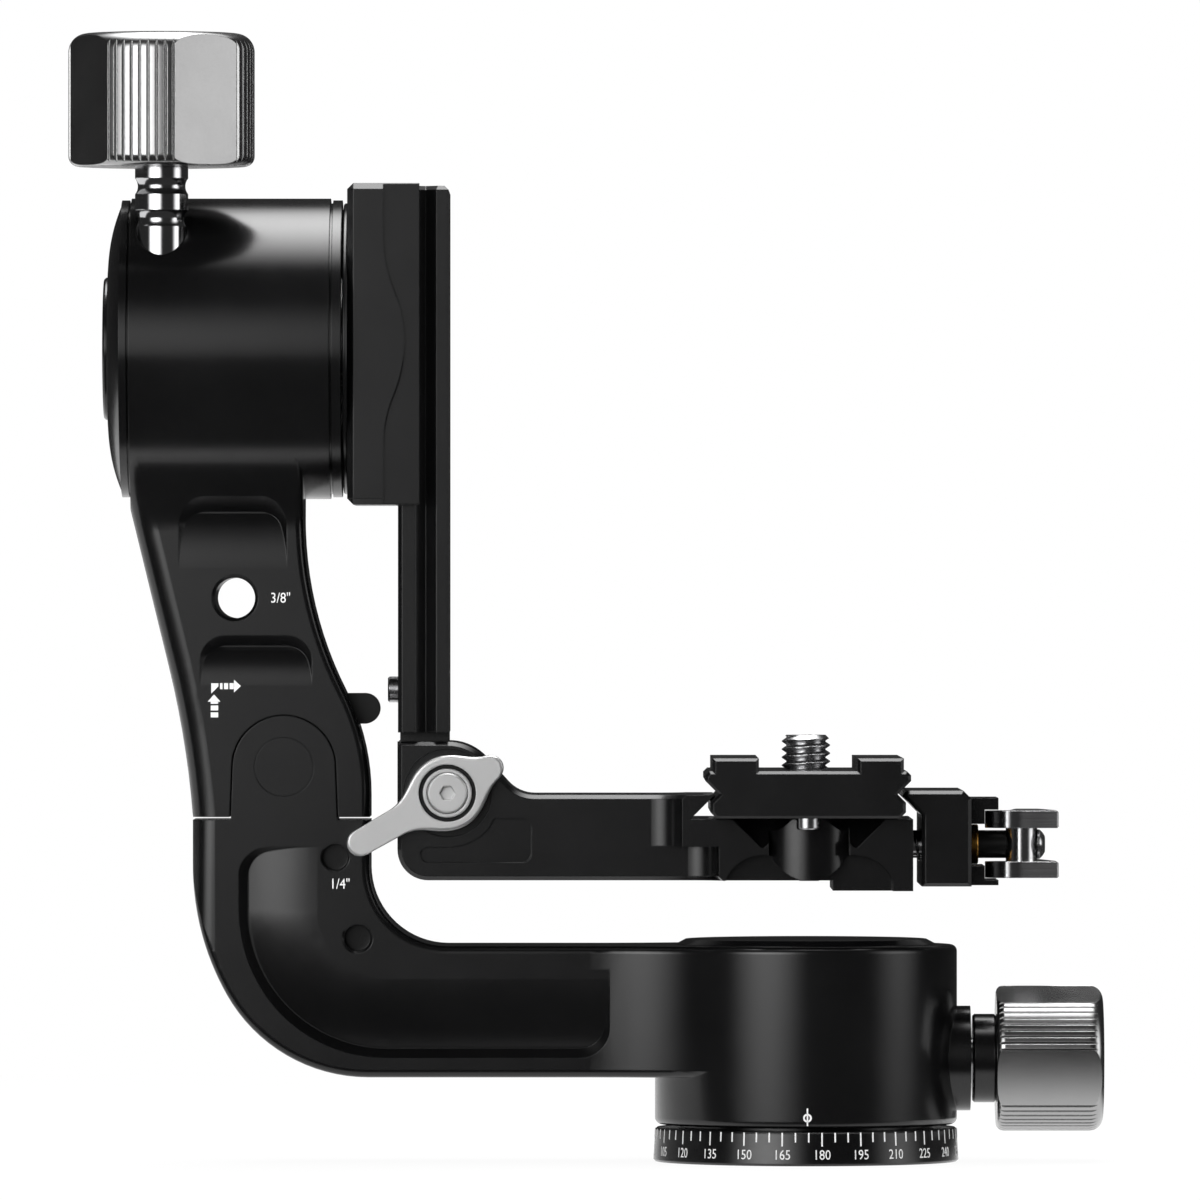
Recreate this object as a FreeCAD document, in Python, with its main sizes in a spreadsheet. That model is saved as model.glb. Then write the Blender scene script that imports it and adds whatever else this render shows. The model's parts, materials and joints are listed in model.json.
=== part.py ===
import FreeCAD, Part
import math
import os

import Sketcher

# Gimbal tripod head, in millimetres.
# Origin: on the pan axis at the underside of the base, where the tripod thread opens.
# +X points from the arms to the camera clamp, +Y away from the fold lever, +Z up.

doc = FreeCAD.newDocument("gimbal_tripod_head")
sheet = doc.addObject("Spreadsheet::Sheet", "sizes")

FRONT = FreeCAD.Rotation(FreeCAD.Vector(1, 0, 0), 90)      # local Z runs towards -Y
BACK = FreeCAD.Rotation(FreeCAD.Vector(1, 0, 0), -90)      # local Z runs towards +Y
RIGHT = FreeCAD.Rotation(FreeCAD.Vector(0, 1, 0), 90)      # local Z runs towards +X
LEFT = FreeCAD.Rotation(FreeCAD.Vector(0, 1, 0), -90)      # local Z runs towards -X
UP = FreeCAD.Rotation()


# ---------------------------------------------------------------- sizes kept in the sheet

class Size:
    """A number together with the spreadsheet formula that gives it."""

    def __init__(self, value, formula):
        self.value = float(value)
        self.formula = formula

    def __add__(self, other):
        return joined(self, "+", other)

    def __sub__(self, other):
        return joined(self, "-", other)

    def __mul__(self, other):
        return joined(self, "*", other)

    def __truediv__(self, other):
        return joined(self, "/", other)

    def __radd__(self, other):
        return joined(other, "+", self)

    def __rsub__(self, other):
        return joined(other, "-", self)

    def __rmul__(self, other):
        return joined(other, "*", self)

    def __neg__(self):
        return joined(0, "-", self)


def sized(number):
    """Any plain number as a Size."""
    if isinstance(number, Size):
        return number
    return Size(number, repr(float(number)))


def joined(left, sign, right):
    left = sized(left)
    right = sized(right)
    worth = {
        "+": lambda a, b: a + b,
        "-": lambda a, b: a - b,
        "*": lambda a, b: a * b,
        "/": lambda a, b: a / b,
    }[sign](left.value, right.value)
    return Size(worth, f"({left.formula} {sign} {right.formula})")


def root(number):
    """The square root of a Size."""
    return Size(math.sqrt(number.value), f"sqrt({number.formula})")


def sine(degrees):
    degrees = sized(degrees)
    return Size(math.sin(math.radians(degrees.value)), f"sin({degrees.formula})")


def cosine(degrees):
    degrees = sized(degrees)
    return Size(math.cos(math.radians(degrees.value)), f"cos({degrees.formula})")


def size(name, value, meaning):
    """Puts one driving dimension in the sheet and gives it back as a Size."""
    size.row += 1
    sheet.set(f"A{size.row}", meaning)
    sheet.set(f"B{size.row}", str(value))
    sheet.setAlias(f"B{size.row}", name)
    return Size(value, f"<<sizes>>.{name}")


size.row = 0


def bind(thing, name, length):
    """Sets a property and ties it to the sheet."""
    length = sized(length)
    if "." not in name:
        setattr(thing, name, length.value)
    if "<<sizes>>" in length.formula:
        thing.setExpression(name, length.formula)


# ---------------------------------------------------------------- bodies and sketches

def make_body(label, at=(0, 0, 0), turn=UP):
    """An empty body whose place is tied to the sheet."""
    body = doc.addObject("PartDesign::Body", label)
    body.Label = label
    spot = [sized(part) for part in at]
    body.Placement = FreeCAD.Placement(FreeCAD.Vector(*[part.value for part in spot]), turn)
    for axis, part in zip("xyz", spot):
        bind(body, f"Placement.Base.{axis}", part)
    return body


def make_sketch(body, plane, offset=0, tilt=0, lift=0):
    """A sketch on one of the body's own planes, moved off it by offset along its normal.

    The normals are +Z for XY, -Y for XZ and +X for YZ. A tilt turns the sketch about its own
    first axis, which lies at the height lift.
    """
    sketch = body.newObject("Sketcher::SketchObject", f"{body.Name}_outline")
    role = f"{plane}_Plane"
    origin_plane = [part for part in body.Origin.OriginFeatures if part.Role == role][0]
    sketch.AttachmentSupport = (origin_plane, [""])
    sketch.MapMode = "FlatFace"
    offset = sized(offset)
    lift = sized(lift)
    tilt = sized(tilt)
    sketch.AttachmentOffset = FreeCAD.Placement(
        FreeCAD.Vector(0, lift.value, offset.value),
        FreeCAD.Rotation(FreeCAD.Vector(1, 0, 0), tilt.value),
    )
    bind(sketch, "AttachmentOffset.Base.y", lift)
    bind(sketch, "AttachmentOffset.Base.z", offset)
    return sketch


class Arc:
    """The end of an arc in an outline: left turns run anticlockwise."""

    def __init__(self, x, y, radius, left=True):
        self.point = (x, y)
        self.radius = sized(radius)
        self.left = left


def arc_between(start, end, radius, left):
    """The shorter arc from start to end, as geometry for a sketch."""
    chord = end - start
    half = chord.Length / 2
    height = math.sqrt(max(radius ** 2 - half ** 2, 0))
    side = FreeCAD.Vector(-chord.y, chord.x, 0).normalize()
    if not left:
        side = side.negative()
    centre = start + chord * 0.5 + side * height
    angles = [math.atan2(p.y - centre.y, p.x - centre.x) for p in (start, end)]
    if not left:
        angles.reverse()
    circle = Part.Circle(centre, FreeCAD.Vector(0, 0, 1), radius)
    return Part.ArcOfCircle(circle, angles[0], angles[1])


def fix_point(sketch, piece, spot, x, y):
    """Holds a point of the sketch at x, y."""
    for kind, part in (("DistanceX", sized(x)), ("DistanceY", sized(y))):
        number = sketch.addConstraint(Sketcher.Constraint(kind, -1, 1, piece, spot, part.value))
        if "<<sizes>>" in part.formula:
            sketch.setExpression(f"Constraints[{number}]", part.formula)


def fix_radius(sketch, piece, radius):
    number = sketch.addConstraint(Sketcher.Constraint("Radius", piece, radius.value))
    if "<<sizes>>" in radius.formula:
        sketch.setExpression(f"Constraints[{number}]", radius.formula)


def draw(sketch, outline, closed=True):
    """Draws a line through the corners of the outline, every corner held by its sizes."""
    stops = list(outline)
    corners = [stop.point if isinstance(stop, Arc) else stop for stop in stops]
    points = [FreeCAD.Vector(sized(x).value, sized(y).value, 0) for x, y in corners]
    if closed and points[-1].distanceToPoint(points[0]) > 0.001:
        stops.append(outline[0])
        corners.append(corners[0])
        points.append(points[0])
    first = sketch.GeometryCount
    ends = []
    for number in range(1, len(stops)):
        stop = stops[number]
        start = points[number - 1]
        end = points[number]
        if isinstance(stop, Arc):
            piece = sketch.addGeometry(arc_between(start, end, stop.radius.value, stop.left), False)
            ends.append((piece, 1, 2) if stop.left else (piece, 2, 1))
            fix_radius(sketch, piece, stop.radius)
        else:
            piece = sketch.addGeometry(Part.LineSegment(start, end), False)
            ends.append((piece, 1, 2))
    for number, (piece, start, end) in enumerate(ends):
        fix_point(sketch, piece, start, *corners[number])
        if number + 1 < len(ends):
            follower = ends[number + 1]
            sketch.addConstraint(
                Sketcher.Constraint("Coincident", piece, end, follower[0], follower[1]))
    last = ends[-1]
    if closed:
        sketch.addConstraint(Sketcher.Constraint("Coincident", last[0], last[2], first, ends[0][1]))
    else:
        fix_point(sketch, last[0], last[2], *corners[-1])
    return sketch


def draw_ring(sketch, radius, x=0, y=0):
    """Draws a circle."""
    radius = sized(radius)
    centre = FreeCAD.Vector(sized(x).value, sized(y).value, 0)
    piece = sketch.addGeometry(Part.Circle(centre, FreeCAD.Vector(0, 0, 1), radius.value), False)
    fix_point(sketch, piece, 3, x, y)
    fix_radius(sketch, piece, radius)
    return sketch


def box_outline(left, right, low, high):
    return [(left, low), (right, low), (right, high), (left, high)]


def slot_outline(left, right, low, high):
    """A rectangle with round ends left and right, (high - low) / 2 in radius."""
    end = (sized(high) - low) / 2
    return [(sized(left) + end, low), (sized(right) - end, low),
            Arc(sized(right), sized(low) + end, end), Arc(sized(right) - end, high, end),
            (sized(left) + end, high), Arc(sized(left), sized(low) + end, end),
            Arc(sized(left) + end, low, end)]


# ---------------------------------------------------------------- features

def add_feature(body, kind, sketch):
    feature = body.newObject(f"PartDesign::{kind}", f"{body.Name}_{kind.lower()}")
    feature.Profile = sketch
    return feature


def pad(body, sketch, length, both=False, backwards=False, taper=0):
    """Adds material on the sketch: both means half each way."""
    feature = add_feature(body, "Pad", sketch)
    bind(feature, "Length", length)
    feature.SideType = "Symmetric" if both else "One side"
    feature.Reversed = backwards
    feature.TaperAngle = taper
    return feature


def pocket(body, sketch, length, both=False, backwards=False, taper=0):
    """Cuts against the sketch's normal, or along it when backwards."""
    feature = add_feature(body, "Pocket", sketch)
    bind(feature, "Length", length)
    feature.SideType = "Symmetric" if both else "One side"
    feature.Reversed = backwards
    feature.TaperAngle = taper
    return feature


def revolve(body, sketch, kind="Revolution"):
    """Turns the sketch round its own second axis, the turned part's own axis."""
    feature = add_feature(body, kind, sketch)
    feature.ReferenceAxis = (sketch, ["V_Axis"])
    feature.Angle = 360
    return feature


def turned(label, outline, at=(0, 0, 0), turn=UP):
    """A turned part: the outline gives radius and height along the part's own Z."""
    body = make_body(label, at, turn)
    revolve(body, draw(make_sketch(body, "XZ"), outline))
    return body


def tube_outline(inner, outer, low, high, edge=0):
    """The half section of a tube or disc, with its outer corners broken by edge."""
    inner, outer, low, high = sized(inner), sized(outer), sized(low), sized(high)
    if not edge:
        return [(inner, low), (outer, low), (outer, high), (inner, high)]
    return [(inner, low), (outer - edge, low), (outer, low + edge), (outer, high - edge),
            (outer - edge, high), (inner, high)]


def edges_where(shape, test):
    """The names of the edges whose middle passes the test."""
    names = []
    for number, edge in enumerate(shape.Edges, start=1):
        middle = edge.valueAt((edge.FirstParameter + edge.LastParameter) / 2)
        if test(middle):
            names.append(f"Edge{number}")
    return names


def soften(body, radius, test, kind="Fillet"):
    """Rounds, or chamfers, the edges of the body so far that pass the test."""
    base = body.Tip
    doc.recompute([base])
    names = edges_where(base.Shape, test)
    if not names:
        raise ValueError(f"no edge of {body.Label} passes")
    feature = body.newObject(f"PartDesign::{kind}", f"{body.Name}_{kind.lower()}")
    feature.Base = (base, names)
    bind(feature, "Radius" if kind == "Fillet" else "Size", radius)
    return feature


SLACK = 0.02


def near(value, target):
    return abs(value - sized(target).value) < SLACK


def group(label, pieces):
    """One node made of separate solids."""
    node = doc.addObject("Part::Compound", label)
    node.Label = label
    node.Links = pieces
    return node


nodes = []


def node(thing):
    """Marks an object as one sub-part to be written."""
    nodes.append(thing)
    return thing


# ---------------------------------------------------------------- sizes shared by several parts

PAST = size("cut_past", 1.0, "how far a cut runs past the face that it opens")
THROUGH = size("cut_through", 100.0, "length of a cut that runs out of its part")
FAR = size("cut_far", 400.0, "length of a cut that starts at the frame's own planes")
GAP = size("free_gap", 0.3, "air left between parts that move past each other")
RUN = size("running_gap", 0.03, "radial play of a shaft or bearing in its bore")

BASE_R = size("base_r", 30.0, "foot radius of the scale ring")
BASE_TOP = size("base_top", 6.7, "top of the scale ring")
DRUM_R = size("drum_r", 29.7, "radius of the pan housing")
DRUM_LOW = size("drum_low", 7.3, "underside of the pan housing")
DRUM_TOP = size("drum_top", 42.6, "top of the pan housing and of the lower arm's bar")
SPINDLE_R = size("spindle_r", 10.0, "radius of the pan and tilt spindles in their bearings")
BEARING_R = size("bearing_r", 16.0, "outer radius of the ball bearings")
BEARING_W = size("bearing_w", 5.0, "width of a ball bearing")
BEARING_GAP = size("bearing_gap", 1.5, "spacer between two bearings")
PAN_BRAKE_R = size("pan_brake_r", 15.0, "radius of the pan spindle's brake band")

ARM_HALF = size("arm_half", 14.3, "half the thickness of both arms")
ARM_LEFT = size("arm_left", -120.3, "outer side of the arms where they meet")
ARM_RIGHT = size("arm_right", -85.6, "inner side of the arms where they meet")
ARM_SPLIT = size("arm_split", 67.2, "top of the lower arm's shoulders")
SPLIT_GAP = size("split_gap", 0.6, "gap between the two arms")
PIVOT_X = size("pivot_x", -102.4, "fold pivot, across")
PIVOT_Z = size("pivot_z", 77.6, "fold pivot, up")
PIN_R = size("pivot_pin_r", 3.0, "radius of the fold pivot pin")
PIN_HEAD_R = size("pivot_head_r", 5.8, "radius of the pin's heads")
TONGUE_R = size("tongue_r", 10.0, "half the width of the fold tongues")
TONGUE_FOOT = size("tongue_foot", 10.4, "half the width of the tongues at their root")
LATCH_Z = size("latch_z", 89.0, "height of the fold latch")
LATCH_R = size("latch_r", 3.0, "half the height of the latch's tab")
LATCH_HALF = size("latch_half", 4.5, "half the depth of the latch's tab")
LATCH_LEFT = size("latch_left", -96.5, "inner end of the latch")
LATCH_RIGHT = size("latch_right", -83.7, "outer end of the latch's tab")
LATCH_SPRING = size("latch_spring_room", 4.0, "room for the spring behind the latch")
WEB_HALF = size("web_half", 6.0, "half the thickness of the upper arm's web")
WEB_W = size("web_w", 6.9, "half the width of the web")
LIFT = size("lift", 20.0, "travel of the pivot pin along the web's slot")
WEB_LOW = size("web_low", 53.0, "lower end of the web")

TILT_Z = size("tilt_z", 159.7, "height of the tilt axis")
TILT_R = size("tilt_drum_r", 29.55, "radius of the tilt housing")
TILT_LEFT = size("tilt_left", -132.5, "left end of the tilt housing")
TILT_RIGHT = size("tilt_right", -93.4, "right end of the tilt housing")

PAN_LOCK_Z = size("pan_lock_z", 20.2, "height of the pan lock's axis")
TILT_LOCK_X = size("tilt_lock_x", -126.2, "tilt lock axis, across")
TILT_LOCK_Y = size("tilt_lock_y", -18.5, "tilt lock axis, in front of the tilt axis")
TILT_KNOB_LOW = size("tilt_knob_low", 195.0, "underside of the tilt lock knob")
SHAFT_R = size("lock_shaft_r", 4.9, "radius of the tilt lock's shaft")

BLOCK_LEFT = size("block_left", -89.85, "left side of the rail clamp")
BLOCK_RIGHT = size("block_right", -75.8, "lips of the rail clamp")
BLOCK_LOW = size("block_low", 128.9, "bottom of the rail clamp")
BLOCK_TOP = size("block_top", 191.7, "top of the rail clamp")
BLOCK_HALF = size("block_half", 24.5, "half the depth of the rail clamp")

JAW_SPLIT = size("jaw_split", 13.7, "where the block ends and the rear jaw begins")
JAW_TRAVEL = size("jaw_gap", 0.8, "gap between block and closed rear jaw")

RAIL_LEFT = size("rail_left", -80.0, "left side of the rail's dovetail")
RAIL_FLANGE = size("rail_flange", 3.3, "thickness of the rail's dovetail flange")
RAIL_PLATE = size("rail_plate", 2.4, "thickness of the rail's plain plate")
RAIL_RIGHT = size("rail_right", -70.1, "right side of the rail")
RAIL_HALF = size("rail_half", 19.0, "half the width of the rail")
RAIL_GROOVE = size("rail_groove", 2.1, "depth of the rail's V grooves")
RAIL_LOW = size("rail_low", 84.4, "lower end of the rail's flanges")
RAIL_TOP = size("rail_top", 191.3, "upper end of the rail")

HINGE_X = size("hinge_x", -70.3, "platform hinge, across")
HINGE_Z = size("hinge_z", 72.6, "platform hinge, up")
HINGE_R = size("hinge_r", 10.0, "radius of the platform's knuckle")
BOLT_R = size("hinge_bolt_r", 4.0, "radius of the hinge bolt")
LUG_HALF = size("lug_half", 8.0, "half the width of the rail's lug")
PLATFORM_HALF = size("platform_half", 19.0, "half the width of the platform's bar")
CLAMP_HALF = size("clamp_half", 25.0, "half the width of the camera clamp")
BAR_LOW = size("bar_low", 55.5, "underside of the platform's bar")
BAR_TOP = size("bar_top", 72.2, "top of the platform's bar and fixed jaw")
BED_Z = size("bed_z", 67.5, "seat of the camera plate in its clamp")
LEVER_X = size("lever_x", 42.4, "axis of the camera clamp's lever")
BOLT_SEAT = size("hinge_head_deep", 4.0, "depth of the bolt head's seat")
LIP_GAP = size("lip_gap", 0.12, "air between the rail's flange and the clamp's lips")
PIN_EDGE = size("pin_edge", 0.3, "broken edges of plain pins and nuts")
SCREW_EDGE = size("screw_edge", 0.4, "broken edges of screws, studs and collars")
TRUNNION_R = size("trunnion_r", 3.1, "radius of the lever's trunnion")
ROD_Z = size("rod_z", 62.3, "height of the camera clamp's draw rod")


# ---------------------------------------------------------------- base: stays on the tripod

def make_base():
    bush_r = size("bush_r", 7.0, "outer radius of the thread bush")
    tap_r = size("tripod_tap_r", 3.97, "bore of the 3/8 inch tripod thread")
    bush_top = size("bush_top", 12.0, "top of the thread bush")
    collar_r = size("bush_collar_r", 9.0, "collar that keeps the bush from pulling out")
    neck_r = size("base_neck_r", 24.9, "neck between scale ring and housing")
    neck_top = size("base_neck_top", 9.5, "top of the base plate")
    ring_top_r = size("ring_top_r", 29.66, "radius at the top of the scale ring")
    edge = size("base_edge", 0.4, "broken edge of the scale ring")
    flange_r = size("spindle_flange_r", 19.0, "spindle flange on the base plate")
    flange_top = size("spindle_flange_top", 12.6, "top of the spindle flange")
    band_top = size("brake_band_top", 26.5, "top of the brake band")
    spindle_top = size("spindle_top", 39.8, "top of the spindle")
    recess_r = size("foot_recess_r", 24.0, "shallow turned relief in the underside")
    recess = size("foot_recess", 0.4, "depth of that relief")
    land_r = size("foot_land_r", 12.0, "land round the tripod thread")
    cavity = size("tripod_screw_room", 3.0, "room above the bush for a long tripod screw")
    nut_drop = size("spindle_nut_drop", 0.3, "how far the nut ends below the spindle's top")
    race = size("bearing_race", 2.4, "radial width of a bearing ring")
    shield = size("bearing_shield", 0.5, "how far a bearing's shields are set in")
    nut_r = size("spindle_nut_r", 13.0, "radius of the spindle nut")

    node(turned("base_plate", [
        (bush_r, 0), (land_r, 0), (land_r, recess), (recess_r, recess), (recess_r, 0),
        (BASE_R - edge, 0), (BASE_R, edge), (ring_top_r, BASE_TOP - edge),
        (ring_top_r - edge, BASE_TOP), (neck_r, BASE_TOP), (neck_r, neck_top),
        (bush_r, neck_top)]))
    node(turned("thread_bush", [
        (tap_r, 0), (bush_r, 0), (bush_r, neck_top), (collar_r, neck_top),
        (collar_r, bush_top), (tap_r, bush_top)]))
    node(turned("pan_spindle", [
        (0, bush_top + cavity), (tap_r, bush_top + cavity), (tap_r, bush_top), (collar_r, bush_top),
        (collar_r, neck_top), (flange_r, neck_top), (flange_r, flange_top),
        (PAN_BRAKE_R, flange_top), (PAN_BRAKE_R, band_top), (SPINDLE_R, band_top),
        (SPINDLE_R, spindle_top), (0, spindle_top)]))
    second = band_top + BEARING_W + BEARING_GAP
    node(group("pan_bearings", [
        make_bearing(f"pan_bearing_{number}", race, shield, (0, 0, low))
        for number, low in enumerate((band_top, second), start=1)]))
    nut_low = second + BEARING_W
    node(turned("spindle_nut", tube_outline(SPINDLE_R, nut_r, nut_low,
                                            spindle_top - nut_drop, PIN_EDGE)))


def make_bearing(label, race, shield, at, turn=UP):
    """A shielded ball bearing as one ring, with its shields set in on both faces."""
    inner = SPINDLE_R + race
    outer = BEARING_R - race
    return turned(label, [
        (SPINDLE_R, 0), (inner, 0), (inner, shield), (outer, shield), (outer, 0),
        (BEARING_R, 0), (BEARING_R, BEARING_W), (outer, BEARING_W),
        (outer, BEARING_W - shield), (inner, BEARING_W - shield), (inner, BEARING_W),
        (SPINDLE_R, BEARING_W)], at, turn)


# ---------------------------------------------------------------- lock knobs

KNOB_TURNS = {"pan_knob": 15.5, "tilt_knob": 33.0, "rail_knob": 20.0}  # degrees


def make_knob(label, radius, length, stud_r, stud_len, at, turn):
    """A lock knob: four flats, four fluted corners and rounded ends, on a stud from below."""
    outer_round = radius * 0.2
    inner_round = radius * 0.11
    flat = radius * 0.91
    flutes = 8
    pitch = 5.3
    depth = radius * 0.035
    rim = 0.5
    share = 0.36
    turn_deg = KNOB_TURNS[label]

    body = node(make_body(label, at, turn))
    revolve(body, draw(make_sketch(body, "XZ"), [
        (stud_r, 0), (radius - inner_round, 0), Arc(radius, inner_round, inner_round),
        (radius, length - outer_round), Arc(radius - outer_round, length, outer_round),
        (0, length), (0, stud_len), (stud_r, stud_len)]))
    flat_cut = pocket(body, turned_outline(make_sketch(body, "XY"), box_outline(
        flat, radius + PAST, -radius, radius), turn_deg), length + PAST, backwards=True)
    around(body, flat_cut, 4, 360)
    sketch = make_sketch(body, "XY")
    half = math.radians(pitch * share)
    for number in range(flutes + 1):
        angle = math.radians(turn_deg + 45 + (number - flutes / 2) * pitch)
        tip = radius - depth
        outside = radius + rim
        draw(sketch, [
            (tip * math.cos(angle), tip * math.sin(angle)),
            (outside * math.cos(angle - half), outside * math.sin(angle - half)),
            (outside * math.cos(angle + half), outside * math.sin(angle + half))])
    flute_cut = pocket(body, sketch, length + PAST, backwards=True)
    around(body, flute_cut, 4, 360)
    return body


def turned_outline(sketch, corners, degrees):
    """Draws straight-sided corners turned about the sketch's origin."""
    cosine = math.cos(math.radians(degrees))
    sine = math.sin(math.radians(degrees))
    return draw(sketch, [(x * cosine - y * sine, x * sine + y * cosine) for x, y in corners])


def around(body, feature, count, degrees):
    """Repeats a feature round the body's own Z."""
    axis = [part for part in body.Origin.OriginFeatures if part.Role == "Z_Axis"][0]
    pattern = body.newObject("PartDesign::PolarPattern", f"{feature.Name}_around")
    pattern.Originals = [feature]
    pattern.Axis = (axis, [""])
    pattern.Angle = degrees
    pattern.Occurrences = count
    body.Tip = pattern
    return pattern


# ---------------------------------------------------------------- pan housing and lower arm

def make_lower_arm():
    """One machined piece: pan housing, bar, elbow and the fork that carries the upper arm."""
    bar_low = size("bar_under", 16.8, "underside of the lower arm's bar")
    long_r = size("elbow_long_r", 52.0, "upper curve of the elbow")
    short_r = size("elbow_short_r", 31.8, "lower curve of the elbow")
    elbow_x = size("elbow_end_x", -85.9, "where the elbow runs into the bar")
    inner_r = size("elbow_inner_r", 15.2, "inner corner between arm and bar")
    flare_x = size("flare_start_x", -42.4, "where the bar starts to widen")
    flare_end_x = size("flare_end_x", -19.2, "where the bar meets the housing")
    flare_end_y = size("flare_end_y", 22.66, "half the bar's width at the housing")
    flare_x_run = flare_end_x - flare_x
    flare_rise = flare_end_y - ARM_HALF
    flare_r = (flare_x_run * flare_x_run + flare_rise * flare_rise) / (flare_rise * 2)
    round_r = size("arm_round_r", 4.5, "rounding of the arms' outer corners")
    lead = size("arm_round_lead", 0.1, "how far that rounding starts outside the outer face")
    round_x = ARM_LEFT - lead + round_r
    rim_r = size("arm_rim_r", 1.5, "small rounding along the arms' faces")
    wide = size("stock_half", 35.0, "half the stock the arms are cut from")

    # The long curve is tangent to the outer side and runs into the short one, inside it.
    between = long_r - short_r
    across = elbow_x - ARM_LEFT - long_r
    rise = root(between * between - across * across)
    straight_low = bar_low + short_r + rise
    shoulder_x = elbow_x + across * short_r / between
    shoulder_z = bar_low + short_r - rise * short_r / between

    body = node(make_body("lower_arm"))
    pad(body, draw(make_sketch(body, "XZ"), [
        (ARM_LEFT, ARM_SPLIT), (ARM_LEFT, straight_low),
        Arc(shoulder_x, shoulder_z, long_r), Arc(elbow_x, bar_low, short_r),
        (flare_end_x, bar_low), (flare_end_x, DRUM_TOP), (ARM_RIGHT + inner_r, DRUM_TOP),
        Arc(ARM_RIGHT, DRUM_TOP + inner_r, inner_r, False), (ARM_RIGHT, ARM_SPLIT),
        (PIVOT_X + TONGUE_FOOT, ARM_SPLIT), (PIVOT_X + TONGUE_R, PIVOT_Z),
        Arc(PIVOT_X, PIVOT_Z + TONGUE_R, TONGUE_R), Arc(PIVOT_X - TONGUE_R, PIVOT_Z, TONGUE_R),
        (PIVOT_X - TONGUE_FOOT, ARM_SPLIT)]), wide * 2, both=True)
    for side in (-1, 1):
        pocket(body, draw(make_sketch(body, "XY"), [
            (ARM_LEFT - PAST, side * (ARM_HALF - round_r)),
            (ARM_LEFT - lead, side * (ARM_HALF - round_r)),
            Arc(round_x, side * ARM_HALF, round_r, side < 0), (flare_x, side * ARM_HALF),
            Arc(flare_end_x, side * flare_end_y, flare_r, side > 0), (flare_end_x, side * (wide + PAST)),
            (ARM_LEFT - PAST, side * (wide + PAST))]), FAR, both=True)
    soften(body, rim_r, lambda p: abs(p.y) > ARM_HALF.value - SLACK and p.z < ARM_SPLIT.value - SLACK
           and p.x < flare_end_x.value - SLACK and not near(p.x, flare_x)
           and not near(p.x, round_x))

    add_pan_housing(body)
    cut_arm_pockets(body)
    cut_fork(body)
    return body


def add_pan_housing(body):
    """The round housing at the end of the bar, with its bearing bore and the lock's boss."""
    edge = size("housing_edge", 1.3, "rounded edge of the pan housing")
    mouth_r = size("housing_mouth_r", 25.2, "mouth that the base's neck turns in")
    mouth_top = size("housing_mouth_top", 9.8, "depth of that mouth")
    flange_room = size("flange_room_r", 20.0, "room for the spindle's flange")
    room_top = size("flange_room_top", 12.9, "top of that room")
    cap_r = size("pan_cap_seat_r", 22.0, "seat of the pan cap")
    cap_low = size("pan_cap_low", 40.2, "bottom of the pan cap's seat")
    boss_r = size("lock_boss_r", 10.3, "boss round the pan lock")
    boss_x = size("lock_boss_x", 32.3, "face of that boss")
    lock_r = size("pan_lock_r", 4.0, "radius of the pan lock's screw")

    revolve(body, draw(make_sketch(body, "XZ"), [
        (0, DRUM_LOW), (DRUM_R - edge, DRUM_LOW), Arc(DRUM_R, DRUM_LOW + edge, edge),
        (DRUM_R, DRUM_TOP - edge), Arc(DRUM_R - edge, DRUM_TOP, edge), (0, DRUM_TOP)]))
    pad(body, draw_ring(make_sketch(body, "YZ", DRUM_R / 2), boss_r, 0, PAN_LOCK_Z),
        boss_x - DRUM_R / 2)
    bore = BEARING_R + RUN
    revolve(body, draw(make_sketch(body, "XZ"), [
        (0, DRUM_LOW - PAST), (mouth_r, DRUM_LOW - PAST), (mouth_r, mouth_top), (flange_room, mouth_top),
        (flange_room, room_top), (bore, room_top), (bore, cap_low), (cap_r, cap_low),
        (cap_r, DRUM_TOP + PAST), (0, DRUM_TOP + PAST)]), "Groove")
    pocket(body, draw_ring(make_sketch(body, "YZ", boss_x + PAST), lock_r + RUN, 0, PAN_LOCK_Z),
           boss_x - SPINDLE_R)

    cap_top = size("pan_cap_top", 43.7, "top of the pan cap")
    cap_face_r = size("pan_cap_face_r", 23.7, "flat face of the pan cap")
    cap_rim_r = size("pan_cap_rim_r", 25.8, "rim of the pan cap")
    node(turned("pan_cap", [(0, cap_low), (cap_r, cap_low), (cap_r, DRUM_TOP),
                            (cap_rim_r, DRUM_TOP), (cap_face_r, cap_top), (0, cap_top)]))
    pad_gap = size("brake_pad_gap", 0.3, "air between a released brake pad and its spindle")
    pad_len = size("brake_pad_len", 4.0, "length of the pan brake pad")
    node(turned("pan_brake_pad", tube_outline(0, lock_r, 0, pad_len, SCREW_EDGE),
                (PAN_BRAKE_R + pad_gap, 0, PAN_LOCK_Z), RIGHT))

    skirt_r = size("pan_skirt_r", 8.7, "collar under the pan knob")
    skirt_x = size("pan_skirt_x", 32.7, "inner face of that collar")
    knob_x = size("pan_knob_x", 37.35, "inner face of the pan knob")
    knob_r = size("pan_knob_r", 14.4, "radius of the pan knob")
    knob_len = size("pan_knob_len", 21.0, "length of the pan knob")
    screw_x = PAN_BRAKE_R + pad_gap + pad_len + GAP
    node(turned("pan_lock_collar", tube_outline(lock_r, skirt_r, 0, knob_x - skirt_x, SCREW_EDGE),
                (skirt_x, 0, PAN_LOCK_Z), RIGHT))
    node(turned("pan_lock_screw", tube_outline(0, lock_r, 0, knob_x + knob_len / 2 - screw_x,
                                                SCREW_EDGE), (screw_x, 0, PAN_LOCK_Z), RIGHT))
    make_knob("pan_knob", knob_r, knob_len, lock_r, knob_len / 2,
              (knob_x, 0, PAN_LOCK_Z), RIGHT)


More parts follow.
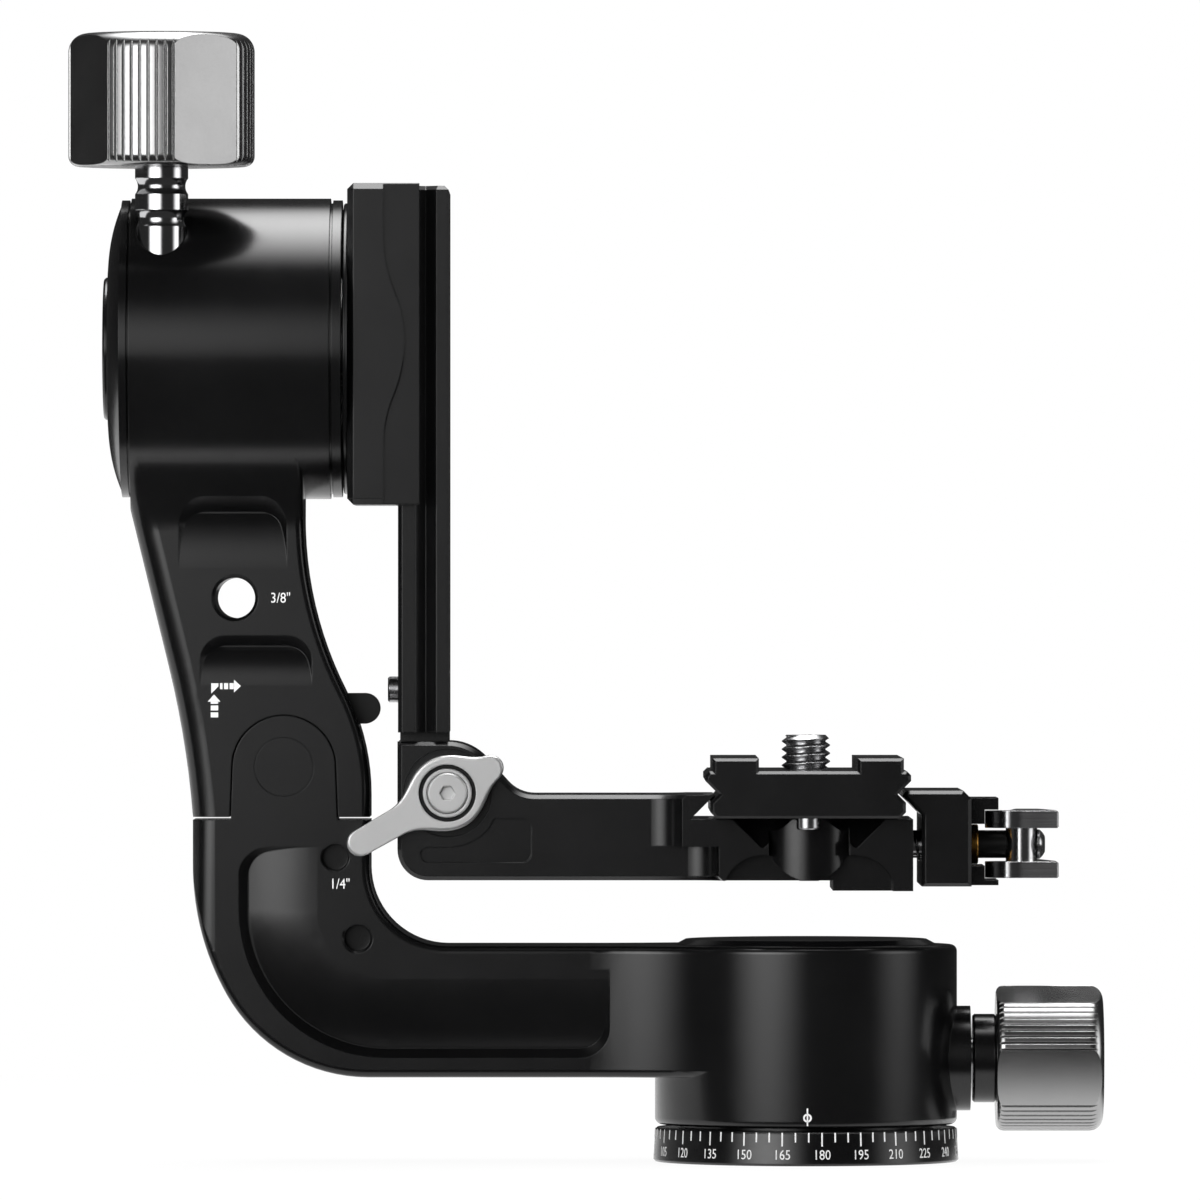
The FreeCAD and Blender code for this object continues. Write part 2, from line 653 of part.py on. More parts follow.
def cut_fork(body):
    """Opens the fork for the upper arm's web and bores it for the pivot pin."""
    root_low = WEB_LOW - size("fork_root_gap", 0.5, "air under the web's lower end")
    slot = WEB_HALF + GAP
    reach = PIVOT_Z + TONGUE_R + PAST
    pocket(body, draw(make_sketch(body, "YZ", ARM_LEFT - PAST),
                      box_outline(-slot, slot, ARM_SPLIT, reach)), THROUGH, backwards=True)
    pocket(body, draw(make_sketch(body, "YZ", PIVOT_X - WEB_W - GAP),
                      box_outline(-slot, slot, root_low, reach)), WEB_W * 2 + GAP * 2, backwards=True)
    pocket(body, draw_ring(make_sketch(body, "XZ"), PIN_R, PIVOT_X, PIVOT_Z), THROUGH, both=True)
    seat = size("pin_head_seat", 1.6, "depth of the pin heads' seats")
    for side in (-1, 1):
        pocket(body, draw_ring(make_sketch(body, "XZ", -side * (ARM_HALF - seat)), PIN_HEAD_R,
                               PIVOT_X, PIVOT_Z), THROUGH, backwards=side < 0)
    flush = size("pin_head_flush", 0.15, "how far the pin's heads sit below the face")
    end = ARM_HALF - flush
    inner = ARM_HALF - seat
    node(turned("pivot_pin", [
        (0, -end), (PIN_HEAD_R, -end), (PIN_HEAD_R, -inner), (PIN_R, -inner), (PIN_R, inner),
        (PIN_HEAD_R, inner), (PIN_HEAD_R, end), (0, end)], (PIVOT_X, 0, PIVOT_Z), FRONT))

    small_r = size("quarter_tap_r", 2.55, "bore of the 1/4 inch threads")
    upper = (size("quarter_upper_x", -92.4, "upper 1/4 inch hole, across"),
             size("quarter_upper_z", 59.9, "upper 1/4 inch hole, up"),
             size("quarter_upper_deep", 7.0, "depth of the upper 1/4 inch hole"),
             size("quarter_upper_edge", 0.3, "chamfer of the upper 1/4 inch hole"))
    lower = (size("quarter_lower_x", -88.0, "lower 1/4 inch hole, across"),
             size("quarter_lower_z", 44.1, "lower 1/4 inch hole, up"),
             size("quarter_lower_deep", 7.6, "depth of the lower 1/4 inch hole"),
             size("quarter_lower_edge", 0.5, "chamfer of the lower 1/4 inch hole"))
    for across, up, deep, edge in (upper, lower):
        pocket(body, draw_ring(make_sketch(body, "XZ", ARM_HALF - deep), small_r, across, up),
               deep * 2, backwards=True)
        soften(body, edge, lambda p: near(p.y, -ARM_HALF) and near(
            math.hypot(p.x - across.value, p.z - up.value), small_r), "Chamfer")


def cut_arm_pockets(body):
    """A pocket round the elbow, front and back, with a floor that curves up to the face."""
    left = size("pocket_left", -111.3, "outer wall of the elbow pocket")
    top = size("pocket_top", 62.0, "upper end of the elbow pocket")
    low = size("pocket_low", 20.6, "lower wall of the elbow pocket")
    right = size("pocket_right", -38.7, "right end of the elbow pocket")
    bend_r = size("pocket_bend_r", 29.0, "bend of the pocket's outer wall")
    corner = size("pocket_corner", 4.0, "rounded ends of the pocket, at its floor")
    deep = size("pocket_deep", 2.4, "greatest depth of the elbow pocket")
    slope = size("pocket_slope", 1.8, "width of the pocket's sloped wall")
    wide = size("pocket_wide", 15.5, "width over which the floor curves up to the face")
    strip = size("pocket_strip", 0.3, "flat strip of floor along the wall")
    over = size("pocket_over", 1.2, "how far the fill under the floor reaches past the cut")

    foot = left + slope
    sill = low + slope
    inner = wide - slope
    foot_r = bend_r - slope
    taper = math.degrees(math.atan2(slope.value, deep.value))
    cut = pocket(body, draw(make_sketch(body, "XZ", ARM_HALF - deep), [
        (foot + corner, top - slope), Arc(foot, top - slope - corner, corner),
        (foot, sill + foot_r), Arc(foot + foot_r, sill, foot_r),
        (right - slope - corner, sill), Arc(right - slope, sill + corner, corner),
        (right - slope, sill + inner), (foot + foot_r, sill + inner),
        Arc(foot + inner, sill + foot_r, foot_r - inner, False), (foot + inner, top - slope)]),
        deep + over, backwards=True, taper=taper)
    mirror_front(body, cut)

    ends = over * 2
    path = draw(make_sketch(body, "XZ", ARM_HALF), [
        (left, top + ends), (left, low + bend_r), Arc(left + bend_r, low, bend_r),
        (right + ends, low)], closed=False)
    run = wide - slope - strip
    floor_r = (run * run + deep * deep) / (deep * 2)
    under = deep + over - ARM_HALF
    flush = left + wide + slope + over
    profile = draw(make_sketch(body, "XY", top + ends), [
        (left - over, under), (foot + strip, deep - ARM_HALF),
        Arc(left + wide, -ARM_HALF, floor_r), (flush, -ARM_HALF), (flush, under)])
    fill = body.newObject("PartDesign::AdditivePipe", "elbow_floor")
    fill.Profile = profile
    fill.Spine = (path, [f"Edge{number}" for number in (1, 2, 3)])
    mirror_front(body, fill)


def mirror_front(body, feature):
    """Repeats a front feature on the back."""
    plane = [part for part in body.Origin.OriginFeatures if part.Role == "XZ_Plane"][0]
    copy = body.newObject("PartDesign::Mirrored", f"{feature.Name}_mirrored")
    copy.Originals = [feature]
    copy.MirrorPlane = (plane, [""])
    body.Tip = copy
    return copy


# ---------------------------------------------------------------- upper arm and tilt housing

def make_upper_arm():
    """One machined piece: the arm with its web below, and the round tilt housing on top."""
    lean = size("arm_lean", 4.5, "lean of the outer side at its foot, degrees")
    lean_turn = size("arm_lean_turn", 9.2, "how far the outer side turns further, degrees")
    lean_r = size("arm_lean_r", 185.0, "curve of the outer side")
    waist_low = size("waist_low", 72.0, "where the inner side starts to curve")
    waist_turn = size("waist_turn", 27.0, "steepest lean of the inner side, degrees")
    waist_r = size("waist_r", 45.0, "lower curve of the inner side")
    neck_x = size("neck_x", -98.6, "inner side under the tilt housing")
    blend_r = size("blend_r", 20.0, "hollow curve from the arm's faces to the housing")
    outer_rim = size("upper_outer_rim", 4.5, "rounding of the outer side")
    inner_rim = size("upper_inner_rim", 1.5, "rounding of the inner side")
    wide = size("upper_stock_half", 35.0, "half the stock the upper arm is cut from")

    foot = ARM_SPLIT + SPLIT_GAP
    face_in = ARM_HALF + blend_r
    reach = TILT_R + blend_r
    drop = root(reach * reach - face_in * face_in)
    blend_low = TILT_Z - drop
    blend_top = TILT_Z - drop * TILT_R / reach
    blend_y = face_in * TILT_R / reach

    # The outer side walks up from its foot: a long curve, then straight to the housing.
    tail = lean + lean_turn
    bend_x = ARM_LEFT - lean_r * (cosine(lean) - cosine(tail))
    bend_z = foot + lean_r * (sine(tail) - sine(lean))
    top_x = bend_x - (blend_top - bend_z) * sine(tail) / cosine(tail)
    # The inner side: straight, a left curve, then a right curve back to upright.
    bulge = 1 - cosine(waist_turn)
    hip_x = ARM_RIGHT - waist_r * bulge
    hip_z = waist_low + waist_r * sine(waist_turn)
    back_r = (hip_x - neck_x) / bulge
    neck_z = hip_z + back_r * sine(waist_turn)

    body = node(make_body("upper_arm"))
    pad(body, draw(make_sketch(body, "XZ"), [
        (top_x, blend_top), (bend_x, bend_z), Arc(ARM_LEFT, foot, lean_r, False),
        (ARM_RIGHT, foot), (ARM_RIGHT, waist_low), Arc(hip_x, hip_z, waist_r),
        Arc(neck_x, neck_z, back_r, False), (neck_x, blend_top)]), wide * 2, both=True)
    for side in (-1, 1):
        pocket(body, draw(make_sketch(body, "YZ"), [
            (side * ARM_HALF, foot - PAST), (side * ARM_HALF, blend_low),
            Arc(side * blend_y, blend_top, blend_r, side < 0), (side * (wide + PAST), blend_top),
            (side * (wide + PAST), foot - PAST)]), FAR, both=True)

    def on_face(p):
        return (abs(p.y) > ARM_HALF.value - SLACK
                and foot.value + SLACK < p.z < blend_top.value - SLACK)

    middle = (TILT_LEFT.value + neck_x.value) / 2
    soften(body, outer_rim, lambda p: on_face(p) and p.x < middle and not near(p.z, blend_low))
    soften(body, inner_rim, lambda p: on_face(p) and p.x > middle and not near(p.z, blend_low))

    pocket(body, draw(make_sketch(body, "XZ"), box_outline(
        TILT_LEFT - TILT_R, TILT_LEFT, foot, blend_top + PAST)), wide * 4, both=True)
    pad(body, draw_ring(make_sketch(body, "YZ", TILT_LEFT), TILT_R, 0, TILT_Z),
        TILT_RIGHT - TILT_LEFT)
    pocket(body, draw_ring(make_sketch(body, "YZ", TILT_LEFT - PAST), BEARING_R + RUN, 0, TILT_Z),
           TILT_RIGHT - TILT_LEFT + PAST * 2, backwards=True)
    add_web(body, foot)
    cut_upper_pockets(body)
    cut_upper_holes(body)
    return body


def add_web(body, foot):
    """The slotted web that rides on the fold pivot, and the seats of the two fork tongues."""
    root_r = size("web_end_r", 2.5, "rounded lower corners of the web")
    right = PIVOT_X + WEB_W
    left = PIVOT_X - WEB_W
    pad(body, draw(make_sketch(body, "XZ"), [
        (left, foot + PAST), (left, WEB_LOW + root_r), Arc(left + root_r, WEB_LOW, root_r),
        (right - root_r, WEB_LOW), Arc(right, WEB_LOW + root_r, root_r), (right, foot + PAST)]),
        WEB_HALF * 2, both=True)
    seat = TONGUE_R + GAP
    for side in (-1, 1):
        pocket(body, draw(make_sketch(body, "XZ", WEB_HALF if side < 0 else -WEB_HALF), [
            (PIVOT_X - TONGUE_FOOT - GAP, foot - PAST), (PIVOT_X + TONGUE_FOOT + GAP, foot - PAST),
            (PIVOT_X + seat, PIVOT_Z), Arc(PIVOT_X, PIVOT_Z + seat, seat),
            Arc(PIVOT_X - seat, PIVOT_Z, seat)]), THROUGH, backwards=side < 0)
    slot = PIN_R + RUN
    low = PIVOT_Z - LIFT
    pocket(body, draw(make_sketch(body, "XZ"), [
        (PIVOT_X - slot, low), Arc(PIVOT_X, low - slot, slot), Arc(PIVOT_X + slot, low, slot),
        (PIVOT_X + slot, PIVOT_Z), Arc(PIVOT_X, PIVOT_Z + slot, slot),
        Arc(PIVOT_X - slot, PIVOT_Z, slot)]), THROUGH, both=True)


def cut_upper_holes(body):
    """The 3/8 inch hole, the lock's bore and the latch's well."""
    hole_x = size("arm_hole_x", -112.0, "3/8 inch hole in the upper arm, across")
    hole_z = size("arm_hole_z", 110.7, "3/8 inch hole in the upper arm, up")
    hole_r = size("arm_hole_r", 3.97, "bore of that hole")
    hole_edge = size("arm_hole_edge", 0.6, "chamfer of that hole")
    pocket(body, draw_ring(make_sketch(body, "XZ"), hole_r, hole_x, hole_z), THROUGH, both=True)
    soften(body, hole_edge, lambda p: near(abs(p.y), ARM_HALF) and near(
        math.hypot(p.x - hole_x.value, p.z - hole_z.value), hole_r), "Chamfer")

    lock_top = size("lock_bore_top", 195.0, "above the tilt housing")
    lock_low = size("lock_bore_low", 152.0, "bottom of the tilt lock's bore")
    pocket(body, draw_ring(make_sketch(body, "XY", lock_top), SHAFT_R + RUN,
                           TILT_LOCK_X, TILT_LOCK_Y), lock_top - lock_low)

    well_end = size("latch_well_end", 0.8, "rounded end of the latch's well behind the spring")
    pocket(body, draw(make_sketch(body, "XZ"), slot_outline(
        LATCH_LEFT - LATCH_SPRING - well_end, LATCH_RIGHT + LATCH_R, LATCH_Z - LATCH_R - GAP,
        LATCH_Z + LATCH_R + GAP)), (LATCH_HALF + GAP) * 2, both=True)


def cut_upper_pockets(body):
    """The two pockets above and below the 3/8 inch hole, front and back."""
    high_top = size("high_pocket_top", 127.6, "top of the higher pocket's floor")
    high_tip = size("high_pocket_tip", 116.6, "where the higher pocket runs out")
    low_top = size("low_pocket_top", 101.4, "top of the lower pocket's floor")
    low_tip = size("low_pocket_tip", 93.6, "where the lower pocket runs out")
    high = (size("high_pocket_left", -121.0, "higher pocket, left"),
            size("high_pocket_right", -103.8, "higher pocket, right"), high_tip, high_top)
    low = (size("low_pocket_left", -116.8, "lower pocket, left"),
           size("low_pocket_right", -98.9, "lower pocket, right"), low_tip, low_top)
    deep = size("upper_pocket_deep", 2.2, "greatest depth of the upper arm's pockets")
    wall = size("upper_pocket_wall", 2.0, "width of their sloped walls")
    corner = size("upper_pocket_corner", 3.0, "rounded upper corners of their floors")
    strip = size("upper_pocket_strip", 0.3, "flat strip of floor under the top wall")
    over = size("upper_pocket_over", 0.6, "how far the fill under the floor reaches past the cut")
    for left, right, tip, top in (high, low):
        cut_ramp(body, left, right, tip, top, deep, wall, corner, strip, over)


def cut_ramp(body, left, right, tip, top, deep, wall, corner, strip, over):
    """A pocket whose floor starts flush at the tip and curves down to its sloped top wall."""
    taper = math.degrees(math.atan2(wall.value, deep.value))
    cut = pocket(body, draw(make_sketch(body, "XZ", ARM_HALF - deep), [
        (left, tip), (right, tip), (right, top - corner), Arc(right - corner, top, corner),
        (left + corner, top), Arc(left, top - corner, corner)]),
        deep * 2, backwards=True, taper=taper)
    mirror_front(body, cut)

    run = top - strip - tip
    floor_r = (run * run + deep * deep) / (deep * 2)
    reach = wall + over
    fill = pad(body, draw(make_sketch(body, "YZ", left - reach), [
        (-ARM_HALF, tip - reach), (-ARM_HALF, tip), Arc(deep - ARM_HALF, top - strip, floor_r, False),
        (deep + over - ARM_HALF, top + over), (deep + over - ARM_HALF, tip - reach)]),
        right - left + reach * 2)
    mirror_front(body, fill)
# ---------------------------------------------------------------- fittings of the upper arm

def fit_upper_arm():
    """Cap, bearings, ring, brake pad and latch spring that stay with the upper arm."""
    flange_r = size("tilt_cap_flange_r", 29.2, "flange of the tilt housing's cap")
    flange_left = size("tilt_cap_flange_left", -134.4, "outer side of that flange")
    flange_right = size("tilt_cap_flange_right", -132.9, "inner side of that flange")
    dome_left = size("tilt_dome_left", -137.1, "top of the cap's dome")
    dome_rim_r = size("tilt_dome_rim_r", 28.4, "rim of the cap's dome")
    dome_face_r = size("tilt_dome_face_r", 15.5, "flat middle of the dome")
    step_r = size("tilt_cap_step_r", 28.3, "shadow gap between cap and housing")
    plug_len = size("tilt_cap_plug", 1.0, "how far the cap's spigot enters the housing")
    seat_r = size("cap_disc_seat_r", 14.1, "seat of the bare disc in the dome")
    seat_left = size("cap_disc_seat_left", -136.4, "bottom of that seat")
    disc_r = size("cap_disc_r", 14.0, "bare disc in the dome")
    disc_left = size("cap_disc_left", -138.0, "face of the bare disc")
    edge = size("cap_disc_edge", 0.4, "broken edge of the disc")
    race = size("tilt_bearing_race", 2.4, "radial width of a tilt bearing's rings")
    shield = size("tilt_bearing_shield", 0.5, "how far its shields are set in")
    left_bearing = size("tilt_bearing_left", -119.5, "left tilt bearing")
    right_bearing = size("tilt_bearing_right", -101.0, "right tilt bearing")
    ring_r = size("tilt_ring_r", 29.2, "fixed ring at the housing's right end")
    ring_step_r = size("tilt_ring_step_r", 28.6, "shadow gap beside that ring")
    ring_step = size("tilt_ring_step", 0.5, "width of that gap")
    ring_right = size("tilt_ring_right", -91.1, "right side of the fixed ring")
    ring_hole_r = size("tilt_ring_hole_r", 16.5, "hole in the fixed ring")

    # Heights run towards -X from the housing's left end.
    def out(x):
        return TILT_LEFT - x

    dome_rise = out(dome_left) - out(flange_left)
    dome_run = dome_rim_r - dome_face_r
    dome_r = (dome_run * dome_run + dome_rise * dome_rise) / (dome_rise * 2)
    node(turned("tilt_cap", [
        (0, -plug_len), (BEARING_R, -plug_len), (BEARING_R, 0), (step_r, 0),
        (step_r, out(flange_right)), (flange_r, out(flange_right)), (flange_r, out(flange_left)),
        (dome_rim_r, out(flange_left)), Arc(dome_face_r, out(dome_left), dome_r),
        (seat_r, out(dome_left)), (seat_r, out(seat_left)), (0, out(seat_left))],
        (TILT_LEFT, 0, TILT_Z), LEFT))
    node(turned("tilt_cap_disc", tube_outline(0, disc_r, out(seat_left), out(disc_left), edge),
                (TILT_LEFT, 0, TILT_Z), LEFT))
    node(group("tilt_bearings", [
        make_bearing(f"tilt_bearing_{number}", race, shield, (left, 0, TILT_Z), RIGHT)
        for number, left in enumerate((left_bearing, right_bearing), start=1)]))
    node(turned("tilt_ring", [
        (ring_hole_r, 0), (ring_step_r, 0), (ring_step_r, ring_step), (ring_r, ring_step),
        (ring_r, ring_right - TILT_RIGHT), (ring_hole_r, ring_right - TILT_RIGHT)],
        (TILT_RIGHT, 0, TILT_Z), RIGHT))

    pad_low = size("tilt_pad_low", 152.3, "lower end of the tilt brake pad")
    pad_top = size("tilt_pad_top", 166.0, "upper end of the tilt brake pad")
    pad_edge = size("tilt_pad_edge", 0.5, "broken edge of that pad")
    node(turned("tilt_brake_pad", tube_outline(0, SHAFT_R, pad_low, pad_top, pad_edge),
                (TILT_LOCK_X, TILT_LOCK_Y, 0)))

    spring_r = size("latch_spring_r", 1.7, "radius of the latch's coil spring")
    wire_r = size("latch_wire_r", 0.3, "radius of its wire")
    coils = size("latch_coils", 4, "turns of that spring")
    node(make_spring("latch_spring", spring_r, wire_r, LATCH_SPRING, coils,
                     (LATCH_LEFT - LATCH_SPRING, 0, LATCH_Z), RIGHT))

    body = node(make_body("fold_latch"))
    pad(body, draw(make_sketch(body, "XZ"), slot_outline(
        LATCH_LEFT, LATCH_RIGHT, LATCH_Z - LATCH_R, LATCH_Z + LATCH_R)), LATCH_HALF * 2, both=True)


WIRE_SIDES = 6
WIRE_ROOM = 1.4


def make_spring(label, radius, wire_r, length, turns, at, turn):
    """A coil spring between two flat seats, swept along its helix."""
    clear = wire_r * WIRE_ROOM
    helix = doc.addObject("Part::Helix", f"{label}_path")
    bind(helix, "Radius", radius)
    bind(helix, "Height", length - clear * 2)
    bind(helix, "Pitch", (length - clear * 2) / turns)
    wire = doc.addObject("Part::RegularPolygon", f"{label}_wire")
    wire.Polygon = WIRE_SIDES
    bind(wire, "Circumradius", wire_r)
    wire.Placement = FreeCAD.Placement(FreeCAD.Vector(radius.value, 0, 0),
                                       FreeCAD.Rotation(FreeCAD.Vector(1, 0, 0), 90))
    bind(wire, "Placement.Base.x", radius)
    spring = doc.addObject("Part::Sweep", label)
    spring.Label = label
    spring.Sections = [wire]
    spring.Spine = helix
    spring.Solid = True
    spring.Frenet = True
    spot = [sized(part) for part in at]
    shift = turn.multVec(FreeCAD.Vector(0, 0, clear.value))
    spring.Placement = FreeCAD.Placement(
        FreeCAD.Vector(*[part.value for part in spot]) + shift, turn)
    return spring


# ---------------------------------------------------------------- tilt lock

def make_tilt_lock():
    """The stepped shaft that squeezes the tilt brake, and its knob."""
    knob_r = size("tilt_knob_r", 18.2, "radius of the tilt lock knob")
    knob_len = size("tilt_knob_len", 26.0, "height of the tilt lock knob")
    tip = size("lock_tip", 166.4, "lower end of the lock's shaft")
    collar_r = size("shaft_collar_r", 5.2, "the shaft's two rounded collars")
    waist_r = size("shaft_waist_r", 2.45, "hollow of the waists under the collars")
    shaft_top = size("lock_shaft_top", 183.3, "top of the plain shaft")
    low_collar = size("low_collar_low", 186.5, "lower collar, bottom")
    low_collar_top = size("low_collar_top", 189.6, "lower collar, top")
    high_collar = size("high_collar_low", 192.7, "upper collar, bottom")
    spigot_r = size("lock_spigot_r", 5.0, "shaft's end inside the knob")
    ease = size("lock_tip_ease", 0.5, "broken edge of the shaft's lower end")
    knob_low = TILT_KNOB_LOW
    spigot_top = knob_low + knob_len / 2

    def up(z):
        return z - tip

    node(turned("tilt_lock_shaft", [
        (0, 0), (SHAFT_R - ease, 0), (SHAFT_R, ease), (SHAFT_R, up(shaft_top)),
        Arc(collar_r, up(low_collar), waist_r, False), (collar_r, up(low_collar_top)),
        Arc(collar_r, up(high_collar), waist_r, False), (collar_r, up(knob_low)),
        (spigot_r, up(knob_low)), (spigot_r, up(spigot_top)), (0, up(spigot_top))],
        (TILT_LOCK_X, TILT_LOCK_Y, tip)))
    make_knob("tilt_knob", knob_r, knob_len, spigot_r, knob_len / 2,
              (TILT_LOCK_X, TILT_LOCK_Y, knob_low), UP)


# ---------------------------------------------------------------- tilting clamp for the rail

def make_rail_clamp():
    """Spindle, turning ring, clamp block with its wave-edged front jaw, and screws."""
    left = size("tilt_spindle_left", -131.2, "left end of the tilt spindle")
    nut_right = size("tilt_nut_right", -129.2, "spindle nut")
    brake_right = size("tilt_brake_right", -121.0, "right end of the brake collar")
    brake_r = size("tilt_brake_r", 13.2, "radius of the brake collar")
    hub_left = size("tilt_hub_left", -95.4, "shoulder against the right bearing")
    hub_r = size("tilt_hub_r", 15.0, "hub behind the turning ring")
    turn_ring_r = size("turning_ring_r", 28.6, "turning ring beside the clamp")
    ring_left = size("turning_ring_left", -90.8, "left side of the turning ring")
    nut_r = size("tilt_nut_r", 12.0, "radius of the spindle nut")
    end_r = size("tilt_spindle_end_r", 8.0, "radius of the spindle's threaded end")
    ring_edge = size("turning_ring_edge", 0.25, "broken edge of the turning ring")

    node(turned("tilt_nut", tube_outline(end_r, nut_r, 0, nut_right - left, PIN_EDGE),
                (left, 0, TILT_Z), RIGHT))
    node(turned("tilt_spindle", [
        (0, 0), (end_r, 0), (end_r, nut_right - left),
        (brake_r, nut_right - left), (brake_r, brake_right - left),
        (SPINDLE_R, brake_right - left), (SPINDLE_R, hub_left - left), (hub_r, hub_left - left),
        (hub_r, ring_left - left), (0, ring_left - left)], (left, 0, TILT_Z), RIGHT))
    node(turned("turning_ring", tube_outline(0, turn_ring_r, 0, BLOCK_LEFT - ring_left,
                                            ring_edge),
                (ring_left, 0, TILT_Z), RIGHT))

    body = node(make_body("rail_clamp"))
    height = BLOCK_TOP - BLOCK_LOW
    pad(body, draw(make_sketch(body, "XY", BLOCK_LOW), box_outline(
        BLOCK_LEFT, BLOCK_RIGHT, -BLOCK_HALF, JAW_SPLIT)), height)
    bevel = size("block_bevel", 1.2, "bevel round the clamp block")
    soften(body, bevel, lambda p: near(p.x, BLOCK_LEFT) or (
        near(p.y, -BLOCK_HALF) and not near(p.x, BLOCK_RIGHT)), "Chamfer")
    cut_dovetail_room(body, JAW_SPLIT + PAST)
    cut_wave(body)
    screw_r = size("clamp_screw_r", 2.5, "screws that hold the clamp to the spindle")
    screw_head_r = size("clamp_screw_head_r", 4.6, "their countersunk heads")
    off = size("clamp_screw_off", 7.0, "screws off the tilt axis, each way")
    sink = size("clamp_screw_sink", 0.1, "how far the heads sit below the seat")
    rim = size("clamp_screw_rim", 0.3, "cylindrical rim of the heads")
    floor = RAIL_LEFT - GAP
    cone = screw_head_r - screw_r
    top = floor - BLOCK_LEFT - sink
    screws = []
    for side_y, side_z in ((-1, -1), (-1, 1), (1, -1), (1, 1)):
        y = off * side_y
        z = TILT_Z + off * side_z
        bottom = make_sketch(body, "YZ", BLOCK_LEFT - PAST)
        pocket(body, draw_ring(bottom, screw_r, y, z), THROUGH, backwards=True)
        pocket(body, draw_ring(make_sketch(body, "YZ", floor), screw_head_r, y, z), cone)
        screws.append(turned(f"clamp_screw_{len(screws) + 1}", [
            (0, 0), (screw_r, 0), (screw_r, top - cone), (screw_head_r, top - rim),
            (screw_head_r, top), (0, top)], (BLOCK_LEFT, y, z), RIGHT))
    node(group("clamp_screws", screws))
    return body


def cut_dovetail_room(body, limit):
    """The channel for the rail: seat, slanted lip over the V groove, open on the right."""
    floor = RAIL_LEFT - GAP
    side = RAIL_HALF + GAP
    bend = RAIL_LEFT + RAIL_FLANGE + LIP_GAP
    lip = BLOCK_RIGHT - bend
    pocket(body, draw(make_sketch(body, "XY", BLOCK_LOW - PAST), [
        (floor, -side), (bend, -side), (BLOCK_RIGHT, lip - side), (BLOCK_RIGHT + PAST, lip - side),
        (BLOCK_RIGHT + PAST, limit), (floor, limit)]), BLOCK_TOP - BLOCK_LOW + PAST * 2, backwards=True)


def cut_wave(body):
    """The bell-shaped step across the front jaw."""
    plain_x = size("wave_plain_x", -82.8, "the step's line near both ends")
    bulge_x = size("wave_bulge_x", -78.7, "the step's line at its widest")
    end = size("wave_end", 20.4, "from the middle to where the line turns straight")
    deep = size("wave_deep", 1.0, "depth of the step")
    middle = BLOCK_LOW + (BLOCK_TOP - BLOCK_LOW) / 2 + size("wave_rise", 0.3, "middle of the wave")
    half_x = (bulge_x - plain_x) / 2
    half_z = end / 2
    radius = (half_x * half_x + half_z * half_z) / (half_x * 2)
    pocket(body, draw(make_sketch(body, "XZ", BLOCK_HALF - deep), [
        (plain_x, BLOCK_LOW - PAST), (BLOCK_RIGHT + PAST, BLOCK_LOW - PAST),
        (BLOCK_RIGHT + PAST, BLOCK_TOP + PAST), (plain_x, BLOCK_TOP + PAST), (plain_x, middle + end),
        Arc(plain_x + half_x, middle + half_z, radius),
        Arc(bulge_x, middle, radius, False), Arc(plain_x + half_x, middle - half_z, radius, False),
        Arc(plain_x, middle - end, radius)]), THROUGH, backwards=True)


